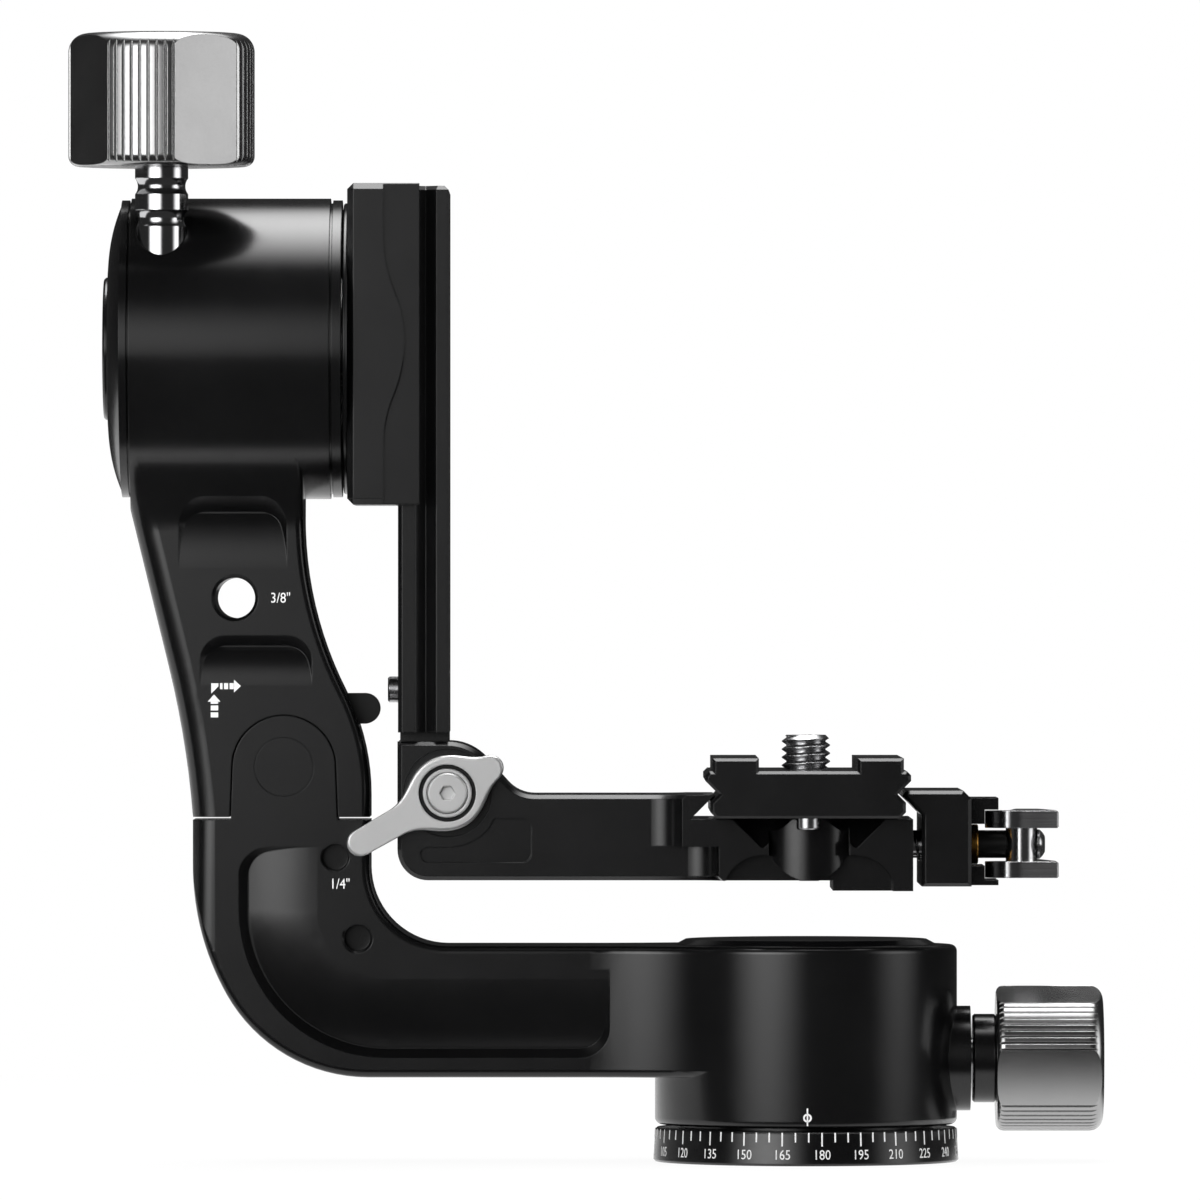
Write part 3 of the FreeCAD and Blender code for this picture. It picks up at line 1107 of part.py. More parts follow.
def make_rail_jaw():
    """The movable rear jaw, with its draw stud, guide pins and small knob."""
    height = size("jaw_height", 46.0, "height of the rear jaw")
    back = size("jaw_back", 26.0, "rear face of the rear jaw")
    inset = size("jaw_inset", 1.0, "how far the jaw is set in from the block's left side")
    stud_x = size("stud_x", -85.0, "draw stud, across")
    stud_r = size("stud_r", 3.0, "radius of the draw stud")
    pin_r = size("jaw_pin_r", 2.0, "radius of the jaw's guide pins")
    pin_out = size("jaw_pin_out", 16.0, "guide pins above and below the stud")
    pin_deep = size("jaw_pin_deep", 10.0, "how deep the pins and stud sit in the block")
    knob_low = size("rail_knob_low", 31.5, "inner face of the rail knob")
    knob_r = size("rail_knob_r", 9.0, "radius of the rail knob")
    knob_len = size("rail_knob_len", 13.5, "length of the rail knob")
    back_edge = size("jaw_back_edge", 1.0, "chamfer round the rear jaw's back")
    pin_short = size("jaw_pin_short", 2.0, "how far the guide pins end before the jaw's back")
    stud_room = size("rail_stud_room", 0.5, "air over the stud's end in the knob")
    collar_r = size("rail_collar_r", 4.6, "collar under the rail knob")

    inner = RAIL_HALF + GAP
    bend = RAIL_LEFT + RAIL_FLANGE + LIP_GAP
    lip = BLOCK_RIGHT - bend
    left = BLOCK_LEFT + inset
    front = JAW_SPLIT + JAW_TRAVEL
    floor = RAIL_LEFT - GAP
    low = TILT_Z - height / 2
    body = node(make_body("rail_jaw"))
    pad(body, draw(make_sketch(body, "XY", low), [
        (left, front), (floor, front), (floor, inner), (bend, inner), (BLOCK_RIGHT, inner - lip),
        (BLOCK_RIGHT, back), (left, back)]), height)
    soften(body, back_edge, lambda p: near(p.y, back), "Chamfer")
    for rise, radius in ((0, stud_r), (pin_out, pin_r), (-pin_out, pin_r)):
        pocket(body, draw_ring(make_sketch(body, "XZ"), radius + RUN, stud_x, TILT_Z + rise),
               THROUGH, both=True)

    stud_low = JAW_SPLIT - pin_deep
    stud_end = knob_low + knob_len / 2
    node(turned("rail_stud", tube_outline(0, stud_r, 0, stud_end - stud_low,
                                         SCREW_EDGE),
                (stud_x, stud_low, TILT_Z), BACK))
    node(group("jaw_pins", [
        turned(f"jaw_pin_{number}", tube_outline(0, pin_r, 0, back - pin_short - stud_low,
                                                PIN_EDGE),
               (stud_x, stud_low, TILT_Z + rise), BACK)
        for number, rise in enumerate((pin_out, -pin_out), start=1)]))
    node(turned("rail_knob_collar", tube_outline(stud_r + RUN, collar_r, 0, knob_low - back - GAP,
                                                 SCREW_EDGE), (stud_x, back + GAP, TILT_Z), BACK))
    make_knob("rail_knob", knob_r, knob_len, stud_r + RUN, knob_len / 2 + stud_room,
              (stud_x, knob_low, TILT_Z), BACK)
    clamp = doc.getObject("rail_clamp")
    for rise, radius in ((0, stud_r + RUN), (pin_out, pin_r), (-pin_out, pin_r)):
        bottom = make_sketch(clamp, "XZ", GAP - stud_low)
        pocket(clamp, draw_ring(bottom, radius, stud_x, TILT_Z + rise), THROUGH)


# ---------------------------------------------------------------- rail and its hinge lug

def make_rail():
    """The upright dovetail rail with its V grooves and the lug that carries the platform."""
    ease = size("rail_ease", 0.8, "broken edges of the dovetail flange and the rail's top")
    lug_r = size("lug_r", 9.4, "rounded end of the hinge lug")
    groove = RAIL_LEFT + RAIL_FLANGE
    plate = RAIL_RIGHT - RAIL_PLATE
    apex = (groove + plate) / 2

    body = node(make_body("rail"))
    pad(body, draw(make_sketch(body, "XY", RAIL_LOW), [
        (RAIL_LEFT, ease - RAIL_HALF), (RAIL_LEFT + ease, -RAIL_HALF), (groove, -RAIL_HALF),
        (apex, RAIL_GROOVE - RAIL_HALF), (plate, -RAIL_HALF), (RAIL_RIGHT, -RAIL_HALF),
        (RAIL_RIGHT, RAIL_HALF), (plate, RAIL_HALF), (apex, RAIL_HALF - RAIL_GROOVE),
        (groove, RAIL_HALF), (RAIL_LEFT + ease, RAIL_HALF), (RAIL_LEFT, RAIL_HALF - ease)]),
        RAIL_TOP - RAIL_LOW)
    soften(body, ease, lambda p: near(p.z, RAIL_TOP), "Chamfer")
    left = HINGE_X - lug_r
    pad(body, draw(make_sketch(body, "XZ"), [
        (left, RAIL_LOW + PAST), (left, HINGE_Z), Arc(HINGE_X, HINGE_Z - lug_r, lug_r),
        Arc(HINGE_X + lug_r, HINGE_Z, lug_r), Arc(HINGE_X, HINGE_Z + lug_r, lug_r),
        (RAIL_RIGHT, HINGE_Z + lug_r), (RAIL_RIGHT, RAIL_LOW + PAST)]), LUG_HALF * 2, both=True)
    pocket(body, draw_ring(make_sketch(body, "XZ"), BOLT_R + RUN, HINGE_X, HINGE_Z),
           THROUGH, both=True)

    groove_half = size("rail_slot_half", 5.5, "half the width of the relief in the rail's face")
    groove_low = size("rail_slot_low", 100.0, "lower end of that relief")
    groove_top = size("rail_slot_top", 183.0, "upper end of that relief")
    relief = size("rail_slot_deep", 1.6, "depth of that relief")
    pocket(body, draw(make_sketch(body, "YZ", RAIL_RIGHT - relief), [
        (-groove_half, groove_low), Arc(0, groove_low - groove_half, groove_half),
        Arc(groove_half, groove_low, groove_half), (groove_half, groove_top),
        Arc(0, groove_top + groove_half, groove_half),
        Arc(-groove_half, groove_top, groove_half)]), THROUGH, backwards=True)

    stop_z = size("rail_stop_z", 92.7, "height of the rail's stop screw")
    stop_r = size("rail_stop_r", 2.55, "head radius of the stop screw")
    stop_edge = size("rail_stop_edge", 0.3, "chamfer of its head")
    stop_out = size("rail_stop_out", 2.2, "how far its head stands out")
    stop_stem_r = size("rail_stop_stem_r", 1.5, "radius of its thread")
    stop_deep = size("rail_stop_deep", 5.0, "depth of its thread")
    pocket(body, draw_ring(make_sketch(body, "YZ", RAIL_LEFT + stop_deep), stop_stem_r, 0, stop_z),
           THROUGH)
    node(turned("rail_stop_screw", [
        (0, -stop_deep), (stop_stem_r, -stop_deep), (stop_stem_r, 0), (stop_r, 0),
        (stop_r, stop_out - stop_edge), (stop_r - stop_edge, stop_out), (0, stop_out)],
        (RAIL_LEFT, 0, stop_z), LEFT))
    return body


# ---------------------------------------------------------------- platform with the clamp bed

def make_platform():
    """The folding bar: knuckle, bar, and the bed and fixed jaw of the camera clamp."""
    knuckle_left = size("knuckle_left", -80.1, "left side of the knuckle")
    corner_r = size("knuckle_corner_r", 6.0, "lower left corner of the bar")
    fall = size("knuckle_fall", 48.0, "angle over which the knuckle falls away, degrees")
    hollow_r = size("knuckle_hollow_r", 7.0, "hollow curve from knuckle to bar")
    bed_right = size("bed_right", 20.6, "right end of the clamp's body")
    heel_left = size("heel_left", 5.0, "left end of the deeper heel")
    heel_low = size("heel_low", 53.5, "underside of the heel")
    lip_x = size("fixed_lip_x", -18.2, "lip of the fixed jaw")
    rim = size("platform_rim", 0.8, "bevel along the platform's sides")
    rim_end = size("platform_rim_end", -40.0, "right end of that bevel")

    bar_z = BAR_TOP
    knuckle_top = HINGE_Z + HINGE_R
    crest_x = HINGE_X + HINGE_R * sine(fall)
    crest_z = HINGE_Z + HINGE_R * cosine(fall)
    toe_z = bar_z + hollow_r * (1 - cosine(fall))
    toe_x = crest_x + (crest_z - toe_z) * cosine(fall) / sine(fall)
    foot_x = toe_x + hollow_r * sine(fall)

    body = node(make_body("platform"))
    pad(body, draw(make_sketch(body, "XZ"), [
        (knuckle_left + corner_r, BAR_LOW), (heel_left, BAR_LOW), (heel_left, heel_low),
        (bed_right, heel_low), (bed_right, BED_Z), (lip_x - (bar_z - BED_Z), BED_Z),
        (lip_x, bar_z), (foot_x, bar_z), Arc(toe_x, toe_z, hollow_r, False), (crest_x, crest_z),
        Arc(HINGE_X, knuckle_top, HINGE_R), (knuckle_left, knuckle_top),
        (knuckle_left, BAR_LOW + corner_r), Arc(knuckle_left + corner_r, BAR_LOW, corner_r)]),
        CLAMP_HALF * 2, both=True)
    narrow_platform(body)
    soften(body, rim, lambda p: (
        near(abs(p.y), PLATFORM_HALF) and p.x < rim_end.value), "Chamfer")

    slot = LUG_HALF + GAP
    room_r = size("lug_room_r", 9.8, "room round the rail's lug")
    room_out = size("lug_room_out", 11.4, "room beside the lug, so that the platform can fold up")
    pocket(body, draw(make_sketch(body, "XZ"), [
        (knuckle_left - PAST, HINGE_Z), (HINGE_X - room_r, HINGE_Z),
        Arc(HINGE_X, HINGE_Z - room_r, room_r), Arc(HINGE_X + room_r, HINGE_Z, room_r),
        (HINGE_X + room_out, HINGE_Z), (HINGE_X + room_out, knuckle_top + PAST),
        (knuckle_left - PAST, knuckle_top + PAST)]),
        slot * 2, both=True)
    cut_hinge_bores(body)
    cut_clamp_body(body)
    carve_clamp_sides(body)
    return body


def narrow_platform(body):
    """Cuts the bar narrower than the clamp, in two steps with hollow ends."""
    step_z = size("scoop_step_z", 62.2, "height of the step between the two hollows")
    high_x = size("scoop_high_x", -24.5, "right end of the upper hollow")
    low_x = size("scoop_low_x", -17.3, "right end of the lower hollow")
    rise = CLAMP_HALF - PLATFORM_HALF
    left = HINGE_X - CLAMP_HALF
    for side in (-1, 1):
        for right, low, high in ((high_x, step_z, HINGE_Z + HINGE_R + PAST),
                                 (low_x, BAR_LOW - PAST, step_z)):
            pocket(body, draw(make_sketch(body, "XY", low), [
                (left, side * PLATFORM_HALF), (right - rise, side * PLATFORM_HALF),
                Arc(right, side * CLAMP_HALF, rise, side > 0), (right, side * (CLAMP_HALF + PAST)),
                (left, side * (CLAMP_HALF + PAST))]), high - low, backwards=True)


def cut_hinge_bores(body):
    """Bolt hole through the knuckle's cheeks, seats for its ends, and the front relief."""
    seat_r = size("hinge_seat_r", 8.6, "seat of the lever's hub in the front cheek")
    seat_deep = size("hinge_seat_deep", 0.8, "depth of that seat")
    head_r = size("hinge_head_r", 7.0, "bolt head in the rear cheek")
    pocket(body, draw_ring(make_sketch(body, "XZ"), BOLT_R, HINGE_X, HINGE_Z), THROUGH, both=True)
    pocket(body, draw_ring(make_sketch(body, "XZ", PLATFORM_HALF - seat_deep), seat_r,
                           HINGE_X, HINGE_Z), THROUGH, backwards=True)
    pocket(body, draw_ring(make_sketch(body, "XZ", BOLT_SEAT - PLATFORM_HALF), head_r,
                           HINGE_X, HINGE_Z), THROUGH)
    left = size("relief_left", -75.6, "relief under the hub, left")
    right = size("relief_right", -53.9, "relief under the hub, right")
    low = size("relief_low", 59.0, "relief under the hub, bottom")
    high = size("relief_high", 67.6, "relief under the hub, top right")
    hub_r = size("relief_hub_r", 10.6, "relief's curve round the hub")
    corner = size("relief_corner", 1.8, "relief's right corners")
    shallow = size("relief_deep", 0.8, "depth of the relief")
    turn = size("relief_turn", 40.0, "where the relief leaves the hub's curve, degrees")
    near_x = HINGE_X + hub_r * cosine(turn)
    near_z = HINGE_Z - hub_r * sine(turn)
    end = (HINGE_Z - hub_r - low) / 2
    pocket(body, draw(make_sketch(body, "XZ", PLATFORM_HALF - shallow), [
        (left + end, low), (right - corner, low), Arc(right, low + corner, corner),
        (right, high - corner), Arc(right - corner, high, corner),
        (near_x + PAST, high), (near_x, near_z),
        Arc(HINGE_X, HINGE_Z - hub_r, hub_r, False), (left + end, HINGE_Z - hub_r),
        Arc(left, low + end, end), Arc(left + end, low, end)]), THROUGH, backwards=True)


def cut_clamp_body(body):
    """Bores for the draw rod and guide rods, with the rods and springs in them."""
    rod_r = size("draw_rod_r", 2.75, "radius of the draw rod")
    rod_left = size("draw_rod_left", -12.0, "left end of the draw rod")
    guide_r = size("guide_rod_r", 2.0, "radius of the guide rods")
    guide_y = size("guide_rod_y", 16.5, "guide rods in front of and behind the draw rod")
    guide_left = size("guide_rod_left", 2.0, "left end of the guide rods")
    spring_room_r = size("jaw_spring_room_r", 3.4, "room for the jaw springs")
    spring_left = size("jaw_spring_left", 13.0, "left end of the jaw springs")
    jaw_left = size("moving_jaw_left", 22.3, "inner side of the moving jaw")

    pocket(body, draw_ring(make_sketch(body, "YZ", rod_left), rod_r, 0, ROD_Z), THROUGH,
           backwards=True)
    for side in (-1, 1):
        pocket(body, draw_ring(make_sketch(body, "YZ", guide_left), guide_r,
                               side * guide_y, ROD_Z), THROUGH, backwards=True)
        pocket(body, draw_ring(make_sketch(body, "YZ", spring_left), spring_room_r,
                               side * guide_y, ROD_Z), THROUGH, backwards=True)
    spring_r = size("jaw_spring_r", 2.7, "radius of the jaw springs")
    spring_wire = size("jaw_wire_r", 0.3, "radius of their wire")
    coils = size("jaw_spring_coils", 5, "turns of the jaw springs")
    guide_end = size("guide_rod_end", 31.0, "right end of the guide rods")
    thread_r = size("draw_thread_r", 1.5, "radius of the rod's threaded end")
    rod_end = size("draw_rod_end", 46.2, "right end of the draw rod")
    shoulder = LEVER_X - TRUNNION_R - rod_left
    node(turned("draw_rod", [
        (0, 0), (rod_r, 0), (rod_r, shoulder), (thread_r, shoulder),
        (thread_r, rod_end - rod_left), (0, rod_end - rod_left)], (rod_left, 0, ROD_Z), RIGHT))
    rods = []
    springs = []
    for name, side in (("front", -1), ("rear", 1)):
        rods.append(turned(f"guide_rod_{name}", tube_outline(0, guide_r, 0, guide_end - guide_left,
                                                             PIN_EDGE),
                           (guide_left, side * guide_y, ROD_Z), RIGHT))
        springs.append(make_spring(f"jaw_spring_{name}", spring_r, spring_wire,
                                   jaw_left - spring_left, coils,
                                   (spring_left, side * guide_y, ROD_Z), RIGHT))
    node(group("guide_rods", rods))
    node(group("jaw_springs", springs))


def carve_clamp_sides(body):
    """The clamp's flanks: a barrel in the middle, between two arches and two cone cuts."""
    middle = size("barrel_x", 0.3, "middle of the clamp's flanks")
    barrel_half = size("barrel_half", 7.9, "half the width of the barrel in the middle")
    barrel_deep = size("barrel_deep", 4.0, "how far the barrel's edges lie back")
    waist_z = size("barrel_waist_z", 62.3, "height at which the barrel is widest")
    arch_half = size("arch_half", 7.2, "half the width of the arches")
    arch_top = size("arch_top", 60.5, "top of the arches")
    arch_deep = size("arch_deep", 5.0, "depth of the arches")
    spread = size("flank_spread", 9.1, "from the middle to the arches and the cone cuts")
    tip_r = size("cone_tip_r", 0.3, "blunt tip of the cone cuts")
    tip_z = size("cone_tip_z", 62.0, "lower tip of the cone cuts")
    cone = size("cone_angle", 45.0, "half angle of the cone cuts, degrees")

    rise = arch_top - BAR_LOW
    arch_r = (arch_half * arch_half + rise * rise) / (rise * 2)
    sag = waist_z - BAR_LOW
    belly_r = (barrel_half * barrel_half + sag * sag) / (sag * 2)
    barrel_r = (barrel_half * barrel_half + barrel_deep * barrel_deep) / (barrel_deep * 2)
    left = middle - barrel_half
    right = middle + barrel_half
    below = BAR_LOW - arch_deep
    for side in (-1, 1):
        inner = (CLAMP_HALF - arch_deep) * -side
        for centre in (middle - spread, middle + spread):
            pocket(body, draw(make_sketch(body, "XZ", inner), [
                (centre - arch_half, below), (centre + arch_half, below),
                (centre + arch_half, BAR_LOW), Arc(centre, arch_top, arch_r),
                Arc(centre - arch_half, BAR_LOW, arch_r)]),
                arch_deep + PAST, backwards=side < 0)
        pad(body, draw(make_sketch(body, "XZ", CLAMP_HALF * -side), [
            (left, waist_z), Arc(middle, BAR_LOW, belly_r), Arc(right, waist_z, belly_r),
            (right, BED_Z), (left, BED_Z)]), arch_deep + PAST, backwards=side < 0)
        edge = (CLAMP_HALF - barrel_deep) * side
        pocket(body, draw(make_sketch(body, "XY", BAR_LOW), [
            (left, edge), Arc(middle, CLAMP_HALF * side, barrel_r, side < 0),
            Arc(right, edge, barrel_r, side < 0), (right, (CLAMP_HALF + PAST) * side),
            (left, (CLAMP_HALF + PAST) * side)]), BED_Z + PAST - BAR_LOW, backwards=True)
        for centre in (middle - spread, middle + spread):
            pocket(body, draw_ring(make_sketch(body, "XY", tip_z), tip_r, centre,
                                   CLAMP_HALF * side), BED_Z + PAST - tip_z,
                   backwards=True, taper=cone.value)
# ---------------------------------------------------------------- hinge bolt and fold lever

def make_fold_lever():
    """The matte lever that locks the platform hinge, its hub screw, and the hinge bolt."""
    hub_r = size("lever_hub_r", 7.3, "hub of the fold lever")
    long_len = size("lever_long", 20.2, "from the hinge to the long arm's tip")
    long_tip = size("lever_long_tip", 2.25, "radius of the long arm's tip")
    short_len = size("lever_short", 10.7, "from the hinge to the short arm's tip")
    short_tip = size("lever_short_tip", 2.15, "radius of the short arm's tip")
    long_angle = size("lever_long_angle", 209.8, "direction of the long arm, degrees")
    short_angle = size("lever_short_angle", 32.6, "direction of the short arm, degrees")
    low = size("lever_back", 19.3, "rear face of the lever's hub, in front of the middle")
    thick = size("lever_thick", 5.0, "thickness of the lever")
    ring_r = size("lever_ring_r", 5.6, "dark ring round the hub screw")
    ring_deep = size("lever_ring_deep", 2.0, "depth of that ring")
    cap_r = size("lever_cap_r", 4.75, "silver washer in the hub")
    cap_set = size("lever_cap_set", 0.2, "how far that washer is set in")
    edge = size("lever_edge", 0.5, "rounded front edge of the lever")
    screw_len = size("lever_screw_len", 1.4, "height of the hub screw's head")
    screw_foot = size("lever_screw_foot", 1.1, "from the lever's face to the head's foot")
    socket_low = size("lever_socket_low", 0.4, "floor of the head's socket")
    bolt_set = size("hinge_bolt_set", 1.5, "how far the bolt ends below the lever's face")
    screw_r = size("lever_screw_r", 3.95, "head of the hub screw")
    hex_r = size("lever_hex_r", 1.5, "hexagon socket of the hub screw")
    head_r = size("bolt_head_r", 6.9, "head of the hinge bolt")
    head_len = size("bolt_head_len", 3.4, "thickness of that head")
    rear = PLATFORM_HALF - BOLT_SEAT

    body = node(make_body("fold_lever", (HINGE_X, 0, HINGE_Z)))
    sketch = make_sketch(body, "XZ", low)
    draw(sketch, arm_outline(hub_r, long_len, long_tip, long_angle))
    pad(body, sketch, thick)
    other = make_sketch(body, "XZ", low)
    draw(other, arm_outline(hub_r, short_len, short_tip, short_angle))
    pad(body, other, thick)
    hub = make_sketch(body, "XZ", low)
    draw_ring(hub, hub_r)
    pad(body, hub, thick)
    pocket(body, draw_ring(make_sketch(body, "XZ"), ring_r), THROUGH, both=True)
    front = low + thick
    between = (ring_r.value + hub_r.value) / 2
    soften(body, edge, lambda p: near(p.y, -front) and math.hypot(p.x, p.z) > between)

    node(turned("lever_washer", [
        (BOLT_R + RUN, 0), (ring_r, 0), (ring_r, thick - ring_deep), (cap_r, thick - ring_deep),
        (cap_r, thick - cap_set), (BOLT_R + RUN, thick - cap_set)], (HINGE_X, -low, HINGE_Z), FRONT))
    screw = node(turned("lever_screw", tube_outline(0, screw_r, 0, screw_len, PIN_EDGE),
                        (HINGE_X, -(front - screw_foot), HINGE_Z), FRONT))
    hexagon = [(hex_r * cosine(60 * number), hex_r * sine(60 * number)) for number in range(6)]
    pocket(screw, draw(make_sketch(screw, "XY", socket_low), hexagon), THROUGH, backwards=True)
    bolt_end = rear + head_len + front - bolt_set
    node(turned("hinge_bolt", [
        (0, 0), (head_r, 0), (head_r, head_len), (BOLT_R, head_len),
        (BOLT_R, bolt_end), (0, bolt_end)],
        (HINGE_X, rear + head_len, HINGE_Z), FRONT))


def arm_outline(hub_r, length, tip_r, angle):
    """A tapering arm from the hub's sides to a round tip, in the given direction."""
    def spot(along, across):
        return (along * cosine(angle) - across * sine(angle),
                along * sine(angle) + across * cosine(angle))

    waist = hub_r * 0.62
    start = hub_r * 0.6
    return [spot(start, -waist), spot(length, -tip_r), Arc(*spot(length + tip_r, 0), tip_r),
            Arc(*spot(length, tip_r), tip_r), spot(start, waist)]


# ---------------------------------------------------------------- camera clamp

def make_clamp_jaw():
    """The moving jaw with the housing of its cam lever, and the brass cam washer."""
    left = size("jaw_left", 22.3, "inner side of the moving jaw")
    right = size("jaw_right", 32.0, "outer side of the moving jaw")
    low = size("jaw_low", 54.4, "underside of the moving jaw")
    top = size("jaw_top", 73.1, "top of the moving jaw")
    lip = size("jaw_lip", 18.5, "lip of the moving jaw")
    lip_z = size("jaw_lip_z", 72.1, "height of the lip's edge")
    bevel = size("jaw_bevel", 1.6, "bevel along the jaw's top")
    hood_right = size("hood_right", 37.6, "right end of the lever housing")
    hood_half = size("hood_half", 11.0, "half the width of the lever housing")
    slot_low = size("hood_slot_low", 55.4, "bottom of the housing's slot")
    slot_top = size("hood_slot_top", 69.2, "top of the housing's slot")
    land_x = size("cam_land_x", 34.9, "lands that the lever's cams press on")
    land_high = size("cam_land_high", 66.4, "upper land, bottom")
    land_low = size("cam_land_low", 58.2, "lower land, top")
    rod_r = size("jaw_rod_bore", 2.78, "bore for the draw rod")
    guide_r = size("jaw_guide_bore", 2.03, "bores for the guide rods")
    guide_y = size("jaw_guide_y", 16.5, "guide rod bores, off the middle")
    brass_r = size("brass_r", 3.9, "radius of the brass washer")
    lip_flat = size("jaw_lip_flat", 0.8, "slanted edge above the lip")
    side_edge = size("jaw_side_edge", 0.7, "chamfer of the moving jaw's ends")
    brass_edge = size("brass_edge", 0.2, "broken edge of the brass washer")
    brass_right = size("brass_right", 33.85, "face of the brass washer")

    body = node(make_body("clamp_jaw"))
    pad(body, draw(make_sketch(body, "XZ"), [
        (left, low), (right, low), (right, top - bevel), (right - bevel, top), (lip + lip_flat, top),
        (lip, lip_z), (left, lip_z - (left - lip))]), CLAMP_HALF * 2, both=True)
    pad(body, draw(make_sketch(body, "XZ"), [
        (right - PAST, low), (hood_right, low), (hood_right, slot_low), (land_x, slot_low),
        (land_x, land_low), (right, land_low), (right, land_high), (land_x, land_high),
        (land_x, slot_top), (hood_right, slot_top), (hood_right, top - bevel),
        (right - PAST, top - bevel)]), hood_half * 2, both=True)
    soften(body, side_edge, lambda p: near(abs(p.y), CLAMP_HALF), "Chamfer")
    pocket(body, draw_ring(make_sketch(body, "YZ", lip - PAST), rod_r, 0, ROD_Z), THROUGH,
           backwards=True)
    for side in (-1, 1):
        pocket(body, draw_ring(make_sketch(body, "YZ", lip - PAST), guide_r, side * guide_y, ROD_Z),
               THROUGH, backwards=True)
    node(turned("brass_washer", tube_outline(rod_r, brass_r, 0, brass_right - right,
                                              brass_edge),
                (right, 0, ROD_Z), RIGHT))


def make_clamp_lever():
    """The two-bladed cam lever, the trunnion it turns on and the nut on the rod's end."""
    low_blade = (size("blade_1_low", 55.7, "lower blade, bottom"),
                 size("blade_1_top", 58.9, "lower blade, top"))
    high_blade = (size("blade_2_low", 65.5, "upper blade, bottom"),
                  size("blade_2_top", 68.9, "upper blade, top"))
    cam_r = size("cam_r", 5.0, "radius of the blades' cams")
    cam_off = size("cam_offset", 2.2, "how far the cams are off the trunnion")
    heel_left = size("blade_heel_left", 40.0, "left side of the blades' heel")
    right = size("blade_right", 49.6, "outer side of the blades")
    nose = size("blade_nose", 4.5, "front face of the blades, in front of the trunnion")
    bend = size("blade_bend", 3.0, "where the blades start to taper, behind the trunnion")
    end = size("blade_end", 28.0, "rear end of the blades")
    end_right = size("blade_end_right", 46.4, "outer side of the blades' rear end")
    end_left = size("blade_end_left", 42.0, "inner side of the blades' rear end")
    tie_front = size("tie_front", 17.0, "front side of the tie between the blades")
    tie_rear = size("tie_rear", 26.0, "rear side of the tie")
    blade_edge = size("blade_edge", 0.3, "chamfer of the blades' outer sides")
    tie_left = size("tie_left", 42.6, "left side of that tie")
    tie_right = size("tie_right", 45.6, "right side of that tie")
    nut_r = size("tension_nut_r", 2.9, "radius of the tension nut")
    nut_left = LEVER_X + TRUNNION_R
    nut_len = size("tension_nut_len", 1.5, "thickness of the tension nut")
    nut_rim = size("tension_nut_rim", 0.4, "height of that nut's rim")
    nut_dome = size("tension_nut_dome", 3.48, "curve of its domed face")
    thread_r = size("trunnion_thread_r", 1.5, "cross hole of the trunnion")

    body = node(make_body("clamp_lever"))
    for low, top in (low_blade, high_blade):
        pad(body, draw_ring(make_sketch(body, "XY", low), cam_r, LEVER_X - cam_off, 0), top - low)
        pad(body, draw(make_sketch(body, "XY", low), [
            (heel_left, -nose), (right, -nose), (right, bend), (end_right, end), (end_left, end),
            (heel_left, bend)]), top - low)
    pad(body, draw(make_sketch(body, "XY", low_blade[0]), box_outline(
        tie_left, tie_right, tie_front, tie_rear)), high_blade[1] - low_blade[0])
    soften(body, blade_edge, lambda p: near(p.x, right), "Chamfer")
    pocket(body, draw_ring(make_sketch(body, "XY", low_blade[0] - PAST), TRUNNION_R + RUN,
                           LEVER_X, 0), THROUGH, backwards=True)
    trunnion = node(make_body("lever_trunnion"))
    pad(trunnion, draw_ring(make_sketch(trunnion, "XY", low_blade[0]), TRUNNION_R, LEVER_X, 0),
        high_blade[1] - low_blade[0])
    pocket(trunnion, draw_ring(make_sketch(trunnion, "YZ"), thread_r, 0, ROD_Z), FAR,
           both=True)
    node(turned("tension_nut", [
        (thread_r, 0), (nut_r, 0), (nut_r, nut_rim), Arc(thread_r, nut_len, nut_dome)],
        (nut_left, 0, ROD_Z), RIGHT))
    return body


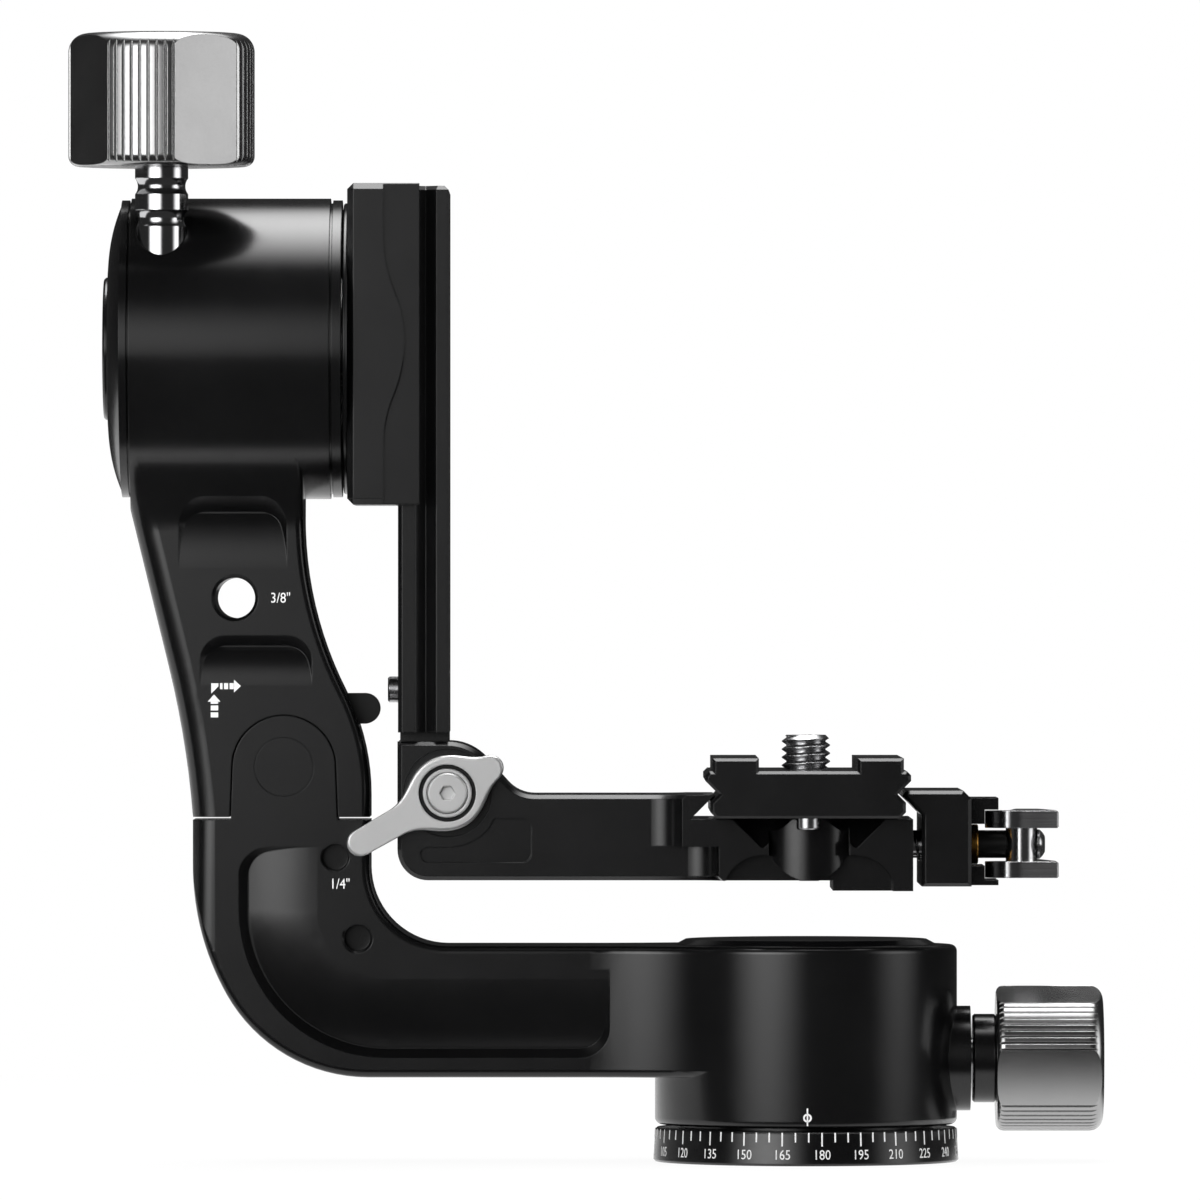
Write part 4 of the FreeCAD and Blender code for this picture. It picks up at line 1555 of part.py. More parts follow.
def make_plate():
    """The quick-release plate with raised ends, grip strips, stop pins and camera screw."""
    half_len = size("plate_half_len", 35.0, "half the length of the plate")
    low = size("plate_low", 67.8, "underside of the plate")
    foot_half = size("plate_foot_half", 17.8, "half the width of the plate's underside")
    wide_half = size("plate_wide_half", 19.0, "half the width of the dovetail")
    wide_top = size("plate_wide_top", 70.9, "top of the dovetail's edge")
    notch_half = size("plate_notch_half", 17.4, "half the width at the notch")
    ear_half = size("plate_ear_half", 20.0, "half the width of the ears")
    ear_top = size("plate_ear_top", 77.0, "top of the plate between its raised ends")
    lug_half = size("plate_lug_half", 18.6, "outer side of the raised strips")
    lug_in = size("plate_lug_in", 9.6, "inner side of the raised strips")
    lug_top = size("plate_lug_top", 79.5, "top of the raised strips")
    slant = wide_half - notch_half
    notch_z = wide_top + slant
    ear_z = notch_z + ear_half - notch_half
    end_edge = size("plate_end_edge", 0.6, "chamfer of the plate's ends")
    ease = size("plate_ear_ease", 0.8, "broken corners of the ears")

    def side(sign):
        return [(foot_half, low), (wide_half, low + wide_half - foot_half), (wide_half, wide_top),
                (notch_half, notch_z), (ear_half, ear_z), (ear_half, ear_top - ease),
                (ear_half - ease, ear_top), (lug_half, ear_top), (lug_half, lug_top),
                (lug_in, lug_top), (lug_in, ear_top)]

    right = side(1)
    left = [(-x, z) for x, z in reversed(right)]
    body = node(make_body("camera_plate"))
    pad(body, draw(make_sketch(body, "XZ"), right + left), half_len * 2, both=True)
    soften(body, end_edge, lambda p: near(abs(p.y), half_len), "Chamfer")
    screw_r = size("camera_screw_r", 4.76, "radius of the 3/8 inch camera screw")
    screw_top = size("camera_screw_top", 83.8, "top of the camera screw")
    neck_r = size("camera_screw_neck_r", 3.9, "plain neck below its thread")
    neck_top = size("camera_screw_neck_top", 77.1, "bottom of its thread")
    tip = size("camera_screw_tip", 0.8, "chamfer of its end")
    head_r = size("camera_screw_head_r", 8.5, "head of the camera screw")
    head_low = size("camera_screw_low", 68.2, "underside of that head")
    head_top = size("camera_screw_head_top", 72.0, "top of that head")
    pocket(body, draw_ring(make_sketch(body, "XY", low - PAST), screw_r + RUN, 0, 0), THROUGH,
           backwards=True)
    pocket(body, draw_ring(make_sketch(body, "XY", low - PAST), head_r + GAP, 0, 0),
           head_top + GAP - low + PAST, backwards=True)
    pin_r = size("stop_pin_r", 2.25, "radius of the plate's stop pins")
    pin_low = size("stop_pin_low", 65.6, "lower end of the stop pins")
    pin_top = size("stop_pin_top", 70.5, "upper end of the stop pins")
    pin_y = size("stop_pin_y", 32.0, "stop pins, off the middle")
    pins = []
    for name, sign in (("front", -1), ("rear", 1)):
        pocket(body, draw_ring(make_sketch(body, "XY", low - PAST), pin_r, 0, sign * pin_y),
               pin_top - low + PAST, backwards=True)
        pins.append(turned(f"stop_pin_{name}", tube_outline(0, pin_r, 0, pin_top - pin_low,
                                                               PIN_EDGE),
                           (0, sign * pin_y, pin_low)))
    node(group("stop_pins", pins))
    screw = node(turned("camera_screw", [
        (0, 0), (head_r - PIN_EDGE, 0), (head_r, PIN_EDGE), (head_r, head_top - head_low),
        (neck_r, head_top - head_low), (neck_r, neck_top - head_low), (screw_r, neck_top - head_low),
        (screw_r, screw_top - head_low - tip), (screw_r - tip, screw_top - head_low),
        (0, screw_top - head_low)], (0, 0, head_low)))
    slot_half = size("coin_slot_half", 0.8, "half the width of the coin slot")
    slot_deep = size("coin_slot_deep", 1.5, "depth of the coin slot")
    pocket(screw, draw(make_sketch(screw, "XZ"), box_outline(-slot_half, slot_half, -PAST, slot_deep)),
           THROUGH, both=True)
    return body


# ---------------------------------------------------------------- build, check and write

def write_parts():
    doc.recompute()
    for thing in doc.Objects:
        if "Invalid" in thing.State or "Error" in thing.State:
            raise ValueError(f"{thing.Name} failed: {thing.State}")
    os.makedirs("parts", exist_ok=True)
    for thing in nodes:
        shape = thing.Shape
        if shape.isNull() or not shape.isValid() or shape.Volume <= 0:
            raise ValueError(f"{thing.Label} has no sound shape")
        shape.exportStep(f"parts/{thing.Label}.step")
        box = shape.BoundBox
        print(f"{thing.Label:22s} {len(shape.Solids)} solid(s) {shape.Volume:9.0f} mm3"
              f"  x {box.XMin:7.1f} {box.XMax:7.1f}  y {box.YMin:6.1f} {box.YMax:6.1f}"
              f"  z {box.ZMin:6.1f} {box.ZMax:6.1f}")


make_base()
make_lower_arm()
make_upper_arm()
fit_upper_arm()
make_tilt_lock()
make_rail_clamp()
make_rail_jaw()
make_rail()
make_platform()
make_fold_lever()
make_clamp_jaw()
make_clamp_lever()
make_plate()
write_parts()
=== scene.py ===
"""Looks of the gimbal head: finishes, printed scale and marks, screw threads, light and camera.

The frame is that of the CAD: +Z up along the pan axis, -Y towards the camera. Blender's lengths are
metres. Sizes that come from the CAD are given in mm and turned into metres where a mesh is made.
"""
import json
import math

import bpy
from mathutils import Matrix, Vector


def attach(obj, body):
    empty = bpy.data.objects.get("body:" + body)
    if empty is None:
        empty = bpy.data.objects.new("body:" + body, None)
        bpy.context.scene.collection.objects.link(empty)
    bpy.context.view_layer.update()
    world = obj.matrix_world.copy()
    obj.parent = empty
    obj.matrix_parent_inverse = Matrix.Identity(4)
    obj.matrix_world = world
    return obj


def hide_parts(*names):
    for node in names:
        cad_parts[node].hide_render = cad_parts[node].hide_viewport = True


MM = 0.001
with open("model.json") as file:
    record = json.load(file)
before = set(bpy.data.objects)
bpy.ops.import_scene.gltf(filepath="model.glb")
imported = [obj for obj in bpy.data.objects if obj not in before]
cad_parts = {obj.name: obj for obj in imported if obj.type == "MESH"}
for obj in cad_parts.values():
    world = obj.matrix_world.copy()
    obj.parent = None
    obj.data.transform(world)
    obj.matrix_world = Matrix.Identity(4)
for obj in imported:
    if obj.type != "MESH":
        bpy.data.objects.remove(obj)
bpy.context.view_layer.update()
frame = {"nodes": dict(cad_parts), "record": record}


# ---------------------------------------------------------------- materials

NOISE_LOW = 0.3
NOISE_HIGH = 0.7
MOTTLE = 45.0
MOTTLE_DETAIL = 3.0
CLOUD = 160.0
CLOUD_DETAIL = 4.0
GRAIN_DETAIL = 1.0
BEVEL_SAMPLES = 4

EVEN = (1, 1, 1)
LATHE_Z = (40, 40, 2600)
LATHE_X = (2600, 40, 40)


def node_of(tree, kind, values=None, **settings):
    """Adds a shader node, sets its properties and fills its sockets, by value or by link."""
    made = tree.nodes.new(kind)
    for name, value in settings.items():
        setattr(made, name, value)
    for socket, value in (values or {}).items():
        if isinstance(value, bpy.types.NodeSocket):
            tree.links.new(value, made.inputs[socket])
        else:
            made.inputs[socket].default_value = value
    return made


def noise_of(tree, scale, detail, stretch=EVEN):
    """Fractal noise in the object's own frame, scale in features per metre."""
    coords = node_of(tree, "ShaderNodeTexCoord")
    place = node_of(tree, "ShaderNodeMapping", {
        "Vector": coords.outputs["Object"], "Scale": stretch})
    return node_of(tree, "ShaderNodeTexNoise", {
        "Vector": place.outputs["Vector"], "Scale": scale, "Detail": detail}).outputs["Fac"]


def math_of(tree, operation, first, second):
    """One arithmetic node."""
    return node_of(tree, "ShaderNodeMath", {0: first, 1: second}, operation=operation).outputs[0]


def range_of(tree, fac, low, high):
    """Maps the useful middle of a noise to a span of values."""
    return node_of(tree, "ShaderNodeMapRange", {
        "Value": fac, "From Min": NOISE_LOW, "From Max": NOISE_HIGH, "To Min": low,
        "To Max": high}).outputs["Result"]


def ramp_of(tree, fac, first, second):
    """Blends two colours by a noise."""
    ramp = node_of(tree, "ShaderNodeValToRGB", {"Fac": fac})
    for stop, colour, place in zip(ramp.color_ramp.elements, (first, second),
                                   (NOISE_LOW, NOISE_HIGH)):
        stop.position = place
        stop.color = (*colour, 1)
    return ramp.outputs["Color"]


def finish_of(name, first, second, metallic, rough, grain, bump, edge=0.25, stretch=EVEN):
    """A metal or coated finish: mottled colour, uneven roughness, fine grain and soft edges.

    rough is (low, high); grain is features per metre and bump their height in metres; stretch
    draws the grain out into lathe or brush marks; edge is the radius in mm that edges are eased by.
    """
    material = bpy.data.materials.new(name)
    material.use_nodes = True
    tree = material.node_tree
    shader = tree.nodes["Principled BSDF"]
    shader.inputs["Metallic"].default_value = metallic
    mottle = noise_of(tree, MOTTLE, MOTTLE_DETAIL)
    tree.links.new(ramp_of(tree, mottle, first, second), shader.inputs["Base Color"])
    fine = noise_of(tree, grain, GRAIN_DETAIL, stretch)
    cloud = noise_of(tree, CLOUD, CLOUD_DETAIL)
    mean = math_of(tree, "MULTIPLY", math_of(tree, "ADD", fine, cloud), 0.5)
    tree.links.new(range_of(tree, mean, *rough), shader.inputs["Roughness"])
    eased = node_of(tree, "ShaderNodeBevel", {"Radius": edge * MM}, samples=BEVEL_SAMPLES)
    bumped = node_of(tree, "ShaderNodeBump", {
        "Height": fine, "Distance": bump, "Strength": 1.0, "Normal": eased.outputs["Normal"]})
    tree.links.new(bumped.outputs["Normal"], shader.inputs["Normal"])
    return material


FINISH = {
    "black_body": finish_of(
        "anodised_black", (0.0030, 0.0030, 0.0032), (0.0048, 0.0048, 0.0050),
        metallic=0.0, rough=(0.17, 0.23), grain=2600, bump=1.5e-6),
    "black_cap": finish_of(
        "polished_black", (0.004, 0.004, 0.0045), (0.007, 0.007, 0.0075),
        metallic=0.0, rough=(0.16, 0.24), grain=1500, bump=1e-6),
    "steel_knob": finish_of(
        "satin_steel", (0.38, 0.38, 0.38), (0.42, 0.42, 0.42),
        metallic=1.0, rough=(0.20, 0.26), grain=2200, bump=0.2e-6),
    "chrome_shaft": finish_of(
        "polished_steel", (0.55, 0.55, 0.56), (0.62, 0.62, 0.63),
        metallic=1.0, rough=(0.10, 0.16), grain=1, bump=1e-6, stretch=LATHE_Z),
    "steel_inner": finish_of(
        "ground_steel", (0.48, 0.48, 0.49), (0.58, 0.58, 0.59),
        metallic=1.0, rough=(0.20, 0.30), grain=1800, bump=2e-6),
    "silver_lever": finish_of(
        "blasted_silver", (0.70, 0.70, 0.70), (0.78, 0.78, 0.78),
        metallic=1.0, rough=(0.40, 0.50), grain=2600, bump=5e-6, edge=0.35),
    "silver_cam": finish_of(
        "bright_steel", (0.60, 0.60, 0.61), (0.70, 0.70, 0.71),
        metallic=1.0, rough=(0.14, 0.22), grain=1, bump=1e-6, stretch=LATHE_Z),
    "dark_screw": finish_of(
        "oxide_black", (0.012, 0.012, 0.012), (0.02, 0.02, 0.02),
        metallic=0.6, rough=(0.28, 0.38), grain=2000, bump=2e-6),
    "brass": finish_of(
        "turned_brass", (0.62, 0.30, 0.06), (0.74, 0.40, 0.10),
        metallic=1.0, rough=(0.22, 0.32), grain=1, bump=2e-6, stretch=LATHE_X),
    "brake": finish_of(
        "nylon", (0.46, 0.36, 0.22), (0.54, 0.44, 0.28),
        metallic=0.0, rough=(0.45, 0.6), grain=1500, bump=4e-6),
    "white_print": finish_of(
        "white_print", (0.80, 0.80, 0.80), (0.90, 0.90, 0.90),
        metallic=0.0, rough=(0.5, 0.6), grain=2500, bump=2e-6, edge=0.02),
}

for part in frame["record"]["subparts"]:
    solid = frame["nodes"][part["node"]]
    for place in solid.material_slots:
        place.material = FINISH[part["material_slot"]]


# ---------------------------------------------------------------- mesh helpers

CAP_SHARE = 0.73
INK = 0.05
WORD_SEGMENTS = 3
SHARP = math.radians(35)


def make_piece(name, data, body, slot, smooth=False):
    """A mesh piece that rides on a body; smooth shades it round between its sharp edges."""
    points, faces = data
    mesh = bpy.data.meshes.new(name)
    mesh.from_pydata(points, [], faces)
    mesh.update()
    if smooth:
        mesh.shade_smooth()
        mesh.set_sharp_from_angle(angle=SHARP)
    piece = bpy.data.objects.new(name, mesh)
    bpy.context.scene.collection.objects.link(piece)
    mesh.materials.append(FINISH[slot])
    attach(piece, body)
    return piece


def prism(outline, thick):
    """Front, back and rim faces of a flat outline given as (across, up) in mm."""
    count = len(outline)
    points = [(x, depth, z) for depth in (-thick, 0.0) for x, z in outline]
    faces = [tuple(range(count)), tuple(reversed(range(count, count * 2)))]
    faces += [(i, i + count, (i + 1) % count + count, (i + 1) % count) for i in range(count)]
    return points, faces


def letters(text, high):
    """A printed word as flat prism data, centred across, standing on its baseline, in mm."""
    curve = bpy.data.curves.new("word", "FONT")
    curve.body = text
    curve.align_x = "CENTER"
    curve.size = high / CAP_SHARE
    curve.extrude = INK / 2
    curve.resolution_u = WORD_SEGMENTS
    holder = bpy.data.objects.new("word", curve)
    mesh = bpy.data.meshes.new_from_object(holder)
    points = [(point.co.x * NARROW, -point.co.z - INK / 2, point.co.y) for point in mesh.vertices]
    faces = [tuple(face.vertices) for face in mesh.polygons]
    bpy.data.objects.remove(holder)
    bpy.data.curves.remove(curve)
    bpy.data.meshes.remove(mesh)
    return points, faces


def shifted(data, across, up):
    """Moves prism data within its plane."""
    points, faces = data
    return [(x + across, y, z + up) for x, y, z in points], faces


def joined(pieces):
    """One point list and one face list out of several."""
    points, faces = [], []
    for more_points, more_faces in pieces:
        start = len(points)
        points += more_points
        faces += [tuple(start + i for i in face) for face in more_faces]
    return points, faces


def on_face(data, depth):
    """Lays prism data on a flat face that looks towards -Y."""
    points, faces = data
    return [(x * MM, (depth + y) * MM, z * MM) for x, y, z in points], faces


def on_round(data, radius, slope=0.0):
    """Wraps prism data round the pan axis, with across measured along the front.

    slope is how much the wall's radius shrinks per mm of height.
    """
    points, faces = data
    wrapped = []
    for x, y, z in points:
        turn = x / radius
        reach = radius - slope * z - y
        wrapped.append((reach * math.sin(turn) * MM, -reach * math.cos(turn) * MM, z * MM))
    return wrapped, faces


def ring(outer, inner, across, up, sides=40):
    """A flat annulus as prism data."""
    points, faces = [], []
    for depth in (-INK, 0.0):
        for radius in (inner, outer):
            points += [(across + radius * math.cos(2 * math.pi * i / sides), depth,
                        up + radius * math.sin(2 * math.pi * i / sides)) for i in range(sides)]
    front_in, front_out, back_in, back_out = 0, sides, sides * 2, sides * 3
    for i in range(sides):
        nxt = (i + 1) % sides
        faces += [(front_in + i, front_in + nxt, front_out + nxt, front_out + i),
                  (back_in + nxt, back_in + i, back_out + i, back_out + nxt),
                  (front_out + i, front_out + nxt, back_out + nxt, back_out + i),
                  (front_in + nxt, front_in + i, back_in + i, back_in + nxt)]
    return points, faces


def bar(left, low, right, high):
    """A flat rectangle as prism data."""
    return prism([(left, low), (right, low), (right, high), (left, high)], INK)


def band_faces(rows, around, closed=False):
    """Faces between rows of points that each go once round; closed joins the last row to the first."""
    faces = []
    for row in range(rows if closed else rows - 1):
        here, there = row * around, (row + 1) % rows * around
        for i in range(around):
            nxt = (i + 1) % around
            faces.append((here + i, here + nxt, there + nxt, there + i))
    return faces


# ---------------------------------------------------------------- printed scale and marks

DIAL_R = 30.02
DIAL_SLOPE = 0.34 / 5.9
DIAL_TOP = 6.5
MINOR_LOW = 4.64
MAJOR_LOW = 3.86
TICK = 0.3
NUMBER_LOW = 1.3
NUMBER_HIGH = 1.97
DIAL_ZERO = 174.7
DIAL_STEP = 5
NUMBER_STEP = 15
NARROW = 0.86

INDEX_R = 29.7
INDEX_X = -0.1
INDEX_Z = 9.4
INDEX_OUT = 0.85
INDEX_IN = 0.5
INDEX_LOW = 7.85
INDEX_HIGH = 11.27

FACE_Y = -14.3
MARK_HIGH = 2.07
UPPER_WORD_X = -103.05
UPPER_WORD_Z = 109.78
LOWER_WORD_X = -91.4
LOWER_WORD_Z = 53.8
UP_HEAD = ((-117.3, 90.4), (-114.8, 90.4), (-116.05, 91.8))
UP_LEFT = -116.7
UP_RIGHT = -115.25
UP_BARS = ((89.98, 90.45), (88.68, 89.64), (87.32, 88.3))
ELBOW = ((-116.6, 92.0), (-115.2, 93.4), (-115.2, 94.0), (-116.6, 94.0))
RIGHT_LOW = 92.85
RIGHT_HIGH = 94.02
RIGHT_BARS = ((-114.9, -114.4), (-114.1, -113.3), (-113.0, -112.2))
RIGHT_HEAD = ((-112.15, 92.2), (-110.8, 93.45), (-112.15, 94.7))


def make_dial():
    """The degree scale round the base: short ticks, and long ones with a number."""
    pieces = []
    for value in range(0, 360, DIAL_STEP):
        across = math.radians(value - DIAL_ZERO) * DIAL_R
        numbered = value % NUMBER_STEP == 0
        low = MAJOR_LOW if numbered else MINOR_LOW
        pieces.append(bar(across - TICK / 2, low, across + TICK / 2, DIAL_TOP))
        if numbered:
            pieces.append(shifted(letters(str(value), NUMBER_HIGH), across, NUMBER_LOW))
    make_piece("dial_print", on_round(joined(pieces), DIAL_R, DIAL_SLOPE), "base", "white_print")


def make_index():
    """The ring and line on the housing that the scale is read against."""
    data = joined([ring(INDEX_OUT, INDEX_IN, INDEX_X, INDEX_Z),
                   bar(INDEX_X - TICK / 2, INDEX_LOW, INDEX_X + TICK / 2, INDEX_HIGH)])
    make_piece("index_print", on_round(data, INDEX_R), "pan", "white_print")


def make_arm_marks():
    """Thread sizes beside the holes, and the arrows that show how the arm folds."""
    marks = [shifted(letters('3/8"', MARK_HIGH), UPPER_WORD_X, UPPER_WORD_Z), prism(UP_HEAD, INK)]
    marks += [bar(UP_LEFT, low, UP_RIGHT, high) for low, high in UP_BARS]
    marks.append(prism(ELBOW, INK))
    marks += [bar(left, RIGHT_LOW, right, RIGHT_HIGH) for left, right in RIGHT_BARS]
    marks.append(prism(RIGHT_HEAD, INK))
    make_piece("upper_arm_print", on_face(joined(marks), FACE_Y), "upper_arm", "white_print")
    small = shifted(letters('1/4"', MARK_HIGH), LOWER_WORD_X, LOWER_WORD_Z)
    make_piece("lower_arm_print", on_face(small, FACE_Y), "pan", "white_print")


make_dial()
make_index()
make_arm_marks()


# ---------------------------------------------------------------- camera screw

PITCH = 1.5875
CREST_R = 4.76
ROOT_R = 3.86
SCREW_LOW = 72.0
SCREW_TOP = 83.8
HEAD_LOW = 68.2
HEAD_R = 8.5
HEAD_LOW_EDGE = 0.4
HEAD_TOP_EDGE = 0.3
CENTRE_R = 0.001
LEAD_IN = 0.9
ROOT_FLAT = 0.12
FLANK = 0.76
AROUND = 72
PER_PITCH = 16


def thread_radius(turn, z):
    """Radius of a 60 degree thread with flat crests and a chamfered end."""
    phase = (z / PITCH - turn) % 1.0
    rise = 1.0 - abs(phase * 2.0 - 1.0)
    shaped = min(max((rise - ROOT_FLAT) / FLANK, 0.0), 1.0)
    full = ROOT_R + (CREST_R - ROOT_R) * shaped
    chamfer = CREST_R - max(0.0, z - (SCREW_TOP - LEAD_IN))
    return min(full, chamfer)


def make_camera_screw():
    """The 3/8 inch screw: a real helical thread on a round head."""
    rows = int((SCREW_TOP - SCREW_LOW) / PITCH * PER_PITCH)
    heights = [SCREW_LOW + (SCREW_TOP - SCREW_LOW) * row / rows for row in range(rows + 1)]
    head = [(CENTRE_R, HEAD_LOW), (HEAD_R - HEAD_LOW_EDGE, HEAD_LOW),
            (HEAD_R, HEAD_LOW + HEAD_LOW_EDGE), (HEAD_R, SCREW_LOW - HEAD_TOP_EDGE),
            (HEAD_R - HEAD_TOP_EDGE, SCREW_LOW), (ROOT_R, SCREW_LOW)]
    rings = [(radius, i, z) for radius, z in head for i in range(AROUND)]
    rings += [(thread_radius(i / AROUND, z), i, z) for z in heights for i in range(AROUND)]
    points = [(radius * math.cos(2 * math.pi * i / AROUND) * MM,
               radius * math.sin(2 * math.pi * i / AROUND) * MM, z * MM) for radius, i, z in rings]
    faces = band_faces(len(head) + len(heights), AROUND)
    faces.append(tuple(range(len(points) - AROUND, len(points))))
    faces.append(tuple(reversed(range(AROUND))))
    piece = make_piece("camera_screw_threaded", (points, faces), "camera_screw", "steel_inner",
                       smooth=True)
    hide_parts("camera_screw")


make_camera_screw()


# ---------------------------------------------------------------- fold lever

HUB_X = -70.3
HUB_Z = 72.6
HUB_R = 7.3
HUB_BORE = 5.58
LEVER_BACK = -19.3
LEVER_FRONT = -24.3
GROOVE_SHADE_Y = -22.3
GROOVE_SHADE_IN = 4.8
GROOVE_SHADE_SIDES = 120
LEVER_EDGE = ((0.0, 0.6), (0.08, 0.3), (0.28, 0.08), (0.6, 0.0), (0.65, 0.0))
ARMS = ((209.8, 19.6, 2.75, 2.6), (30.0, 9.9, 2.4, 2.4))
FLARE = 5.0
RAYS = 720
SEARCH_FAR = 30.0
SEARCH_STEPS = 30


def lever_gap(x, z):
    """Distance to the lever's outline, negative inside: a hub and arms, flared into each other.

    An arm is (angle, length, half its width at the hub, half its width at the tip).
    """
    gap = math.hypot(x, z) - HUB_R
    for angle, length, neck, tip in ARMS:
        turn = math.radians(angle)
        along = x * math.cos(turn) + z * math.sin(turn)
        across = z * math.cos(turn) - x * math.sin(turn)
        share = min(max(along / length, 0.0), 1.0)
        arm = math.hypot(along - share * length, across) - (neck + (tip - neck) * share ** 3)
        blend = min(max(0.5 + (arm - gap) / (2 * FLARE), 0.0), 1.0)
        gap = arm + (gap - arm) * blend - FLARE * blend * (1 - blend)
    return gap


def lever_reach(angle):
    """How far the lever's outline lies from the hub's middle in one direction."""
    near, far = HUB_BORE, SEARCH_FAR
    for _ in range(SEARCH_STEPS):
        middle = (near + far) / 2
        if lever_gap(middle * math.cos(angle), middle * math.sin(angle)) < 0:
            near = middle
        else:
            far = middle
    return near


def make_lever():
    """The lever as one smooth casting with rounded edges, and a flat black ring of painted shade in
    the groove of its hub.

    LEVER_EDGE is the rounding's section: how far in from the outline, how far behind the front.
    """
    angles = [2 * math.pi * i / RAYS for i in range(RAYS)]
    reaches = [lever_reach(angle) for angle in angles]
    bore = [HUB_BORE] * RAYS
    rows = [(bore, LEVER_BACK), (reaches, LEVER_BACK)]
    rows += [([reach - inset for reach in reaches], LEVER_FRONT + depth)
             for inset, depth in LEVER_EDGE]
    rows.append((bore, LEVER_FRONT))
    points = [((HUB_X + radius * math.cos(angle)) * MM, y * MM,
               (HUB_Z + radius * math.sin(angle)) * MM)
              for radii, y in rows for radius, angle in zip(radii, angles)]
    faces = band_faces(len(rows), RAYS, closed=True)
    lever = make_piece("fold_lever_shaped", (points, faces), "fold_lever", "silver_lever",
                       smooth=True)
    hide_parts("fold_lever")
    # Painted shade: a flat black ring laid in the hub's groove, darker than the gap renders by itself.
    groove_shade = on_face(ring(HUB_BORE, GROOVE_SHADE_IN, HUB_X, HUB_Z, GROOVE_SHADE_SIDES), GROOVE_SHADE_Y)
    make_piece("lever_groove_shade", groove_shade, "fold_lever", "black_cap")


make_lever()


# ---------------------------------------------------------------- floor, light and camera

def spread_of(tree, value, start, end, low, high):
    """A smooth step from low to high while value goes from start to end."""
    return node_of(tree, "ShaderNodeMapRange", {
        "Value": value, "From Min": start, "From Max": end, "To Min": low, "To Max": high},
        interpolation_type="SMOOTHSTEP").outputs["Result"]


def blend_of(tree, share, first, second):
    """A number that goes from first to second with share."""
    mixed = node_of(tree, "ShaderNodeMix", {"Factor": share, "A": first, "B": second},
                    data_type="FLOAT")
    return mixed.outputs["Result"]


MIDDLE = Vector((-0.04, 0.0, 0.11))
# Name, azimuth, elevation, distance, width, height and radiance of each lamp.
LAMPS = (
    ("lamp_left", -30, 8, 1.7, 2.2, 2.1, 5.4),
    ("lamp_right", 74, 8, 1.7, 1.6, 2.4, 2.4),
    ("lamp_top", 180, 79, 1.5, 2.2, 2.4, 10.0),
)


def direction_of(azimuth, elevation):
    """A unit vector: azimuth 0 is towards the camera and 90 to its right, in degrees."""
    turn, rise = math.radians(azimuth), math.radians(elevation)
    return Vector((math.sin(turn) * math.cos(rise), -math.cos(turn) * math.cos(rise),
                   math.sin(rise)))


def softbox(name, azimuth, elevation, away, wide, high, radiance):
    """A rectangular lamp aimed at the head, brightest in its middle and dark at its rim."""
    lamp = bpy.data.lights.new(name, "AREA")
    lamp.shape = "RECTANGLE"
    lamp.size = wide
    lamp.size_y = high
    lamp.energy = radiance * math.pi * wide * high
    lamp.use_nodes = True
    tree = lamp.node_tree
    place = node_of(tree, "ShaderNodeNewGeometry").outputs["Parametric"]
    sides = node_of(tree, "ShaderNodeSeparateXYZ", {0: place}).outputs
    falls = []
    for side in sides[:2]:
        off = math_of(tree, "ABSOLUTE", math_of(tree, "SUBTRACT", side, 0.5), 0.0)
        falls.append(spread_of(tree, off, 0.0, 0.5, 1.0, 0.0))
    tree.links.new(math_of(tree, "MULTIPLY", *falls), tree.nodes["Emission"].inputs["Strength"])
    holder = bpy.data.objects.new(name, lamp)
    holder.location = MIDDLE + direction_of(azimuth, elevation) * away
    holder.rotation_euler = direction_of(azimuth, elevation).to_track_quat("Z", "Y").to_euler()
    holder.visible_camera = False
    bpy.context.scene.collection.objects.link(holder)


for lamp_sizes in LAMPS:
    softbox(*lamp_sizes)


WORLD_FILL = 0.35
WORLD_GLOSS = 0.03


def make_world():
    """A soft fill for diffuse light, white for the camera and dark in reflections."""
    world = bpy.data.worlds.new("studio")
    world.use_nodes = True
    tree = world.node_tree
    rays = node_of(tree, "ShaderNodeLightPath")
    lit = blend_of(tree, rays.outputs["Is Glossy Ray"], WORLD_FILL, WORLD_GLOSS)
    seen = math_of(tree, "MAXIMUM", rays.outputs["Is Camera Ray"],
                   rays.outputs["Is Transmission Ray"])
    shader = tree.nodes["Background"]
    shader.inputs["Color"].default_value = (1, 1, 1, 1)
    tree.links.new(blend_of(tree, seen, lit, 1.0), shader.inputs["Strength"])
    bpy.context.scene.world = world


FLOOR_HALF = 1.5
FLOOR_GREY = (0.85, 0.85, 0.85, 1)
FLOOR_ROUGH = 0.9
FLOOR_NEAR = 0.15
FLOOR_FAR = 0.55
PAPER_NEAR = 0.95
MIRROR_DARK = 0.04
MIRROR_PALE = 1.0
DARK_FRONT = -0.047
PALE_BEHIND = -0.026
PALE_RIGHT = 0.07
DARK_RIGHT = 0.11


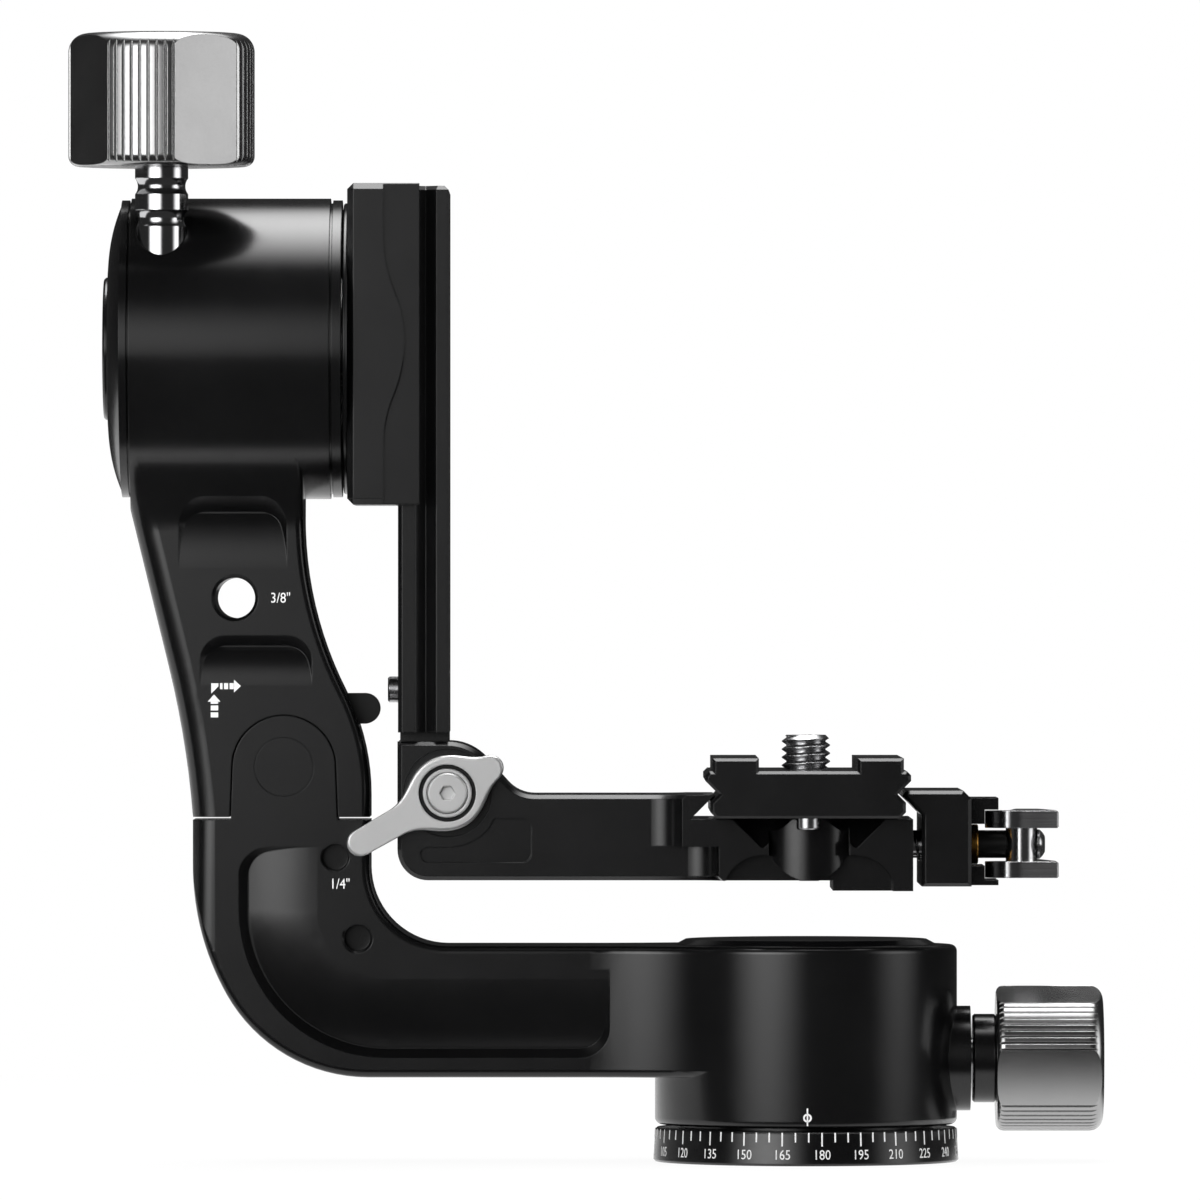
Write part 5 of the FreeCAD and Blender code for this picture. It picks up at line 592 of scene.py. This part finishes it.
def make_floor():
    """A pale floor: white for the camera but for the shadow, dark in front in reflections."""
    mesh = bpy.data.meshes.new("floor")
    mesh.from_pydata([(x * FLOOR_HALF, y * FLOOR_HALF, 0) for x, y in
                      ((-1, -1), (1, -1), (1, 1), (-1, 1))], [], [(0, 1, 2, 3)])
    floor = bpy.data.objects.new("floor", mesh)
    bpy.context.scene.collection.objects.link(floor)
    material = bpy.data.materials.new("floor_paper")
    material.use_nodes = True
    tree = material.node_tree
    shader = tree.nodes["Principled BSDF"]
    shader.inputs["Base Color"].default_value = FLOOR_GREY
    shader.inputs["Roughness"].default_value = FLOOR_ROUGH
    shader.inputs["Specular IOR Level"].default_value = 0.0
    rays = node_of(tree, "ShaderNodeLightPath")
    coords = node_of(tree, "ShaderNodeTexCoord")
    away = node_of(tree, "ShaderNodeVectorMath", {0: coords.outputs["Object"]},
                   operation="LENGTH").outputs["Value"]
    paper = spread_of(tree, away, FLOOR_NEAR, FLOOR_FAR, PAPER_NEAR, 1.0)
    sides = node_of(tree, "ShaderNodeSeparateXYZ", {0: coords.outputs["Object"]}).outputs
    # Painted reflection: for glossy rays the floor glows, pale behind the head and dark in front of it
    # and to its right.
    behind = spread_of(tree, sides["Y"], DARK_FRONT, PALE_BEHIND, 0.0, 1.0)
    pale = spread_of(tree, sides["X"], PALE_RIGHT, DARK_RIGHT, MIRROR_PALE, 0.0)
    mirror = math_of(tree, "ADD", math_of(tree, "MULTIPLY", behind, pale), MIRROR_DARK)
    glossy = rays.outputs["Is Glossy Ray"]
    seen = math_of(tree, "MAXIMUM", rays.outputs["Is Camera Ray"],
                   rays.outputs["Is Transmission Ray"])
    share = math_of(tree, "MAXIMUM", math_of(tree, "MULTIPLY", seen, paper), glossy)
    white = node_of(tree, "ShaderNodeEmission", {
        "Color": (1, 1, 1, 1), "Strength": blend_of(tree, glossy, 1.0, mirror)})
    mixed = node_of(tree, "ShaderNodeMixShader", {
        0: share, 1: shader.outputs[0], 2: white.outputs[0]})
    tree.links.new(mixed.outputs[0], tree.nodes["Material Output"].inputs["Surface"])
    mesh.materials.append(material)


SENSOR = 36.0
CAMERA_AWAY = 3.0
CAMERA_X = -0.0405
CAMERA_Z = 0.1103
VIEW_WIDE = 0.23604
VIEW_END = 50.0


def make_camera():
    """A long lens, level with the middle of the head."""
    view = bpy.data.cameras.new("camera")
    view.sensor_width = SENSOR
    view.lens = SENSOR * CAMERA_AWAY / VIEW_WIDE
    view.clip_end = VIEW_END
    holder = bpy.data.objects.new("camera", view)
    holder.location = (CAMERA_X, -CAMERA_AWAY, CAMERA_Z)
    holder.rotation_euler = (math.radians(90), 0, 0)
    bpy.context.scene.collection.objects.link(holder)
    bpy.context.scene.camera = holder


make_world()
make_floor()
make_camera()
bpy.context.scene.view_settings.view_transform = "Standard"
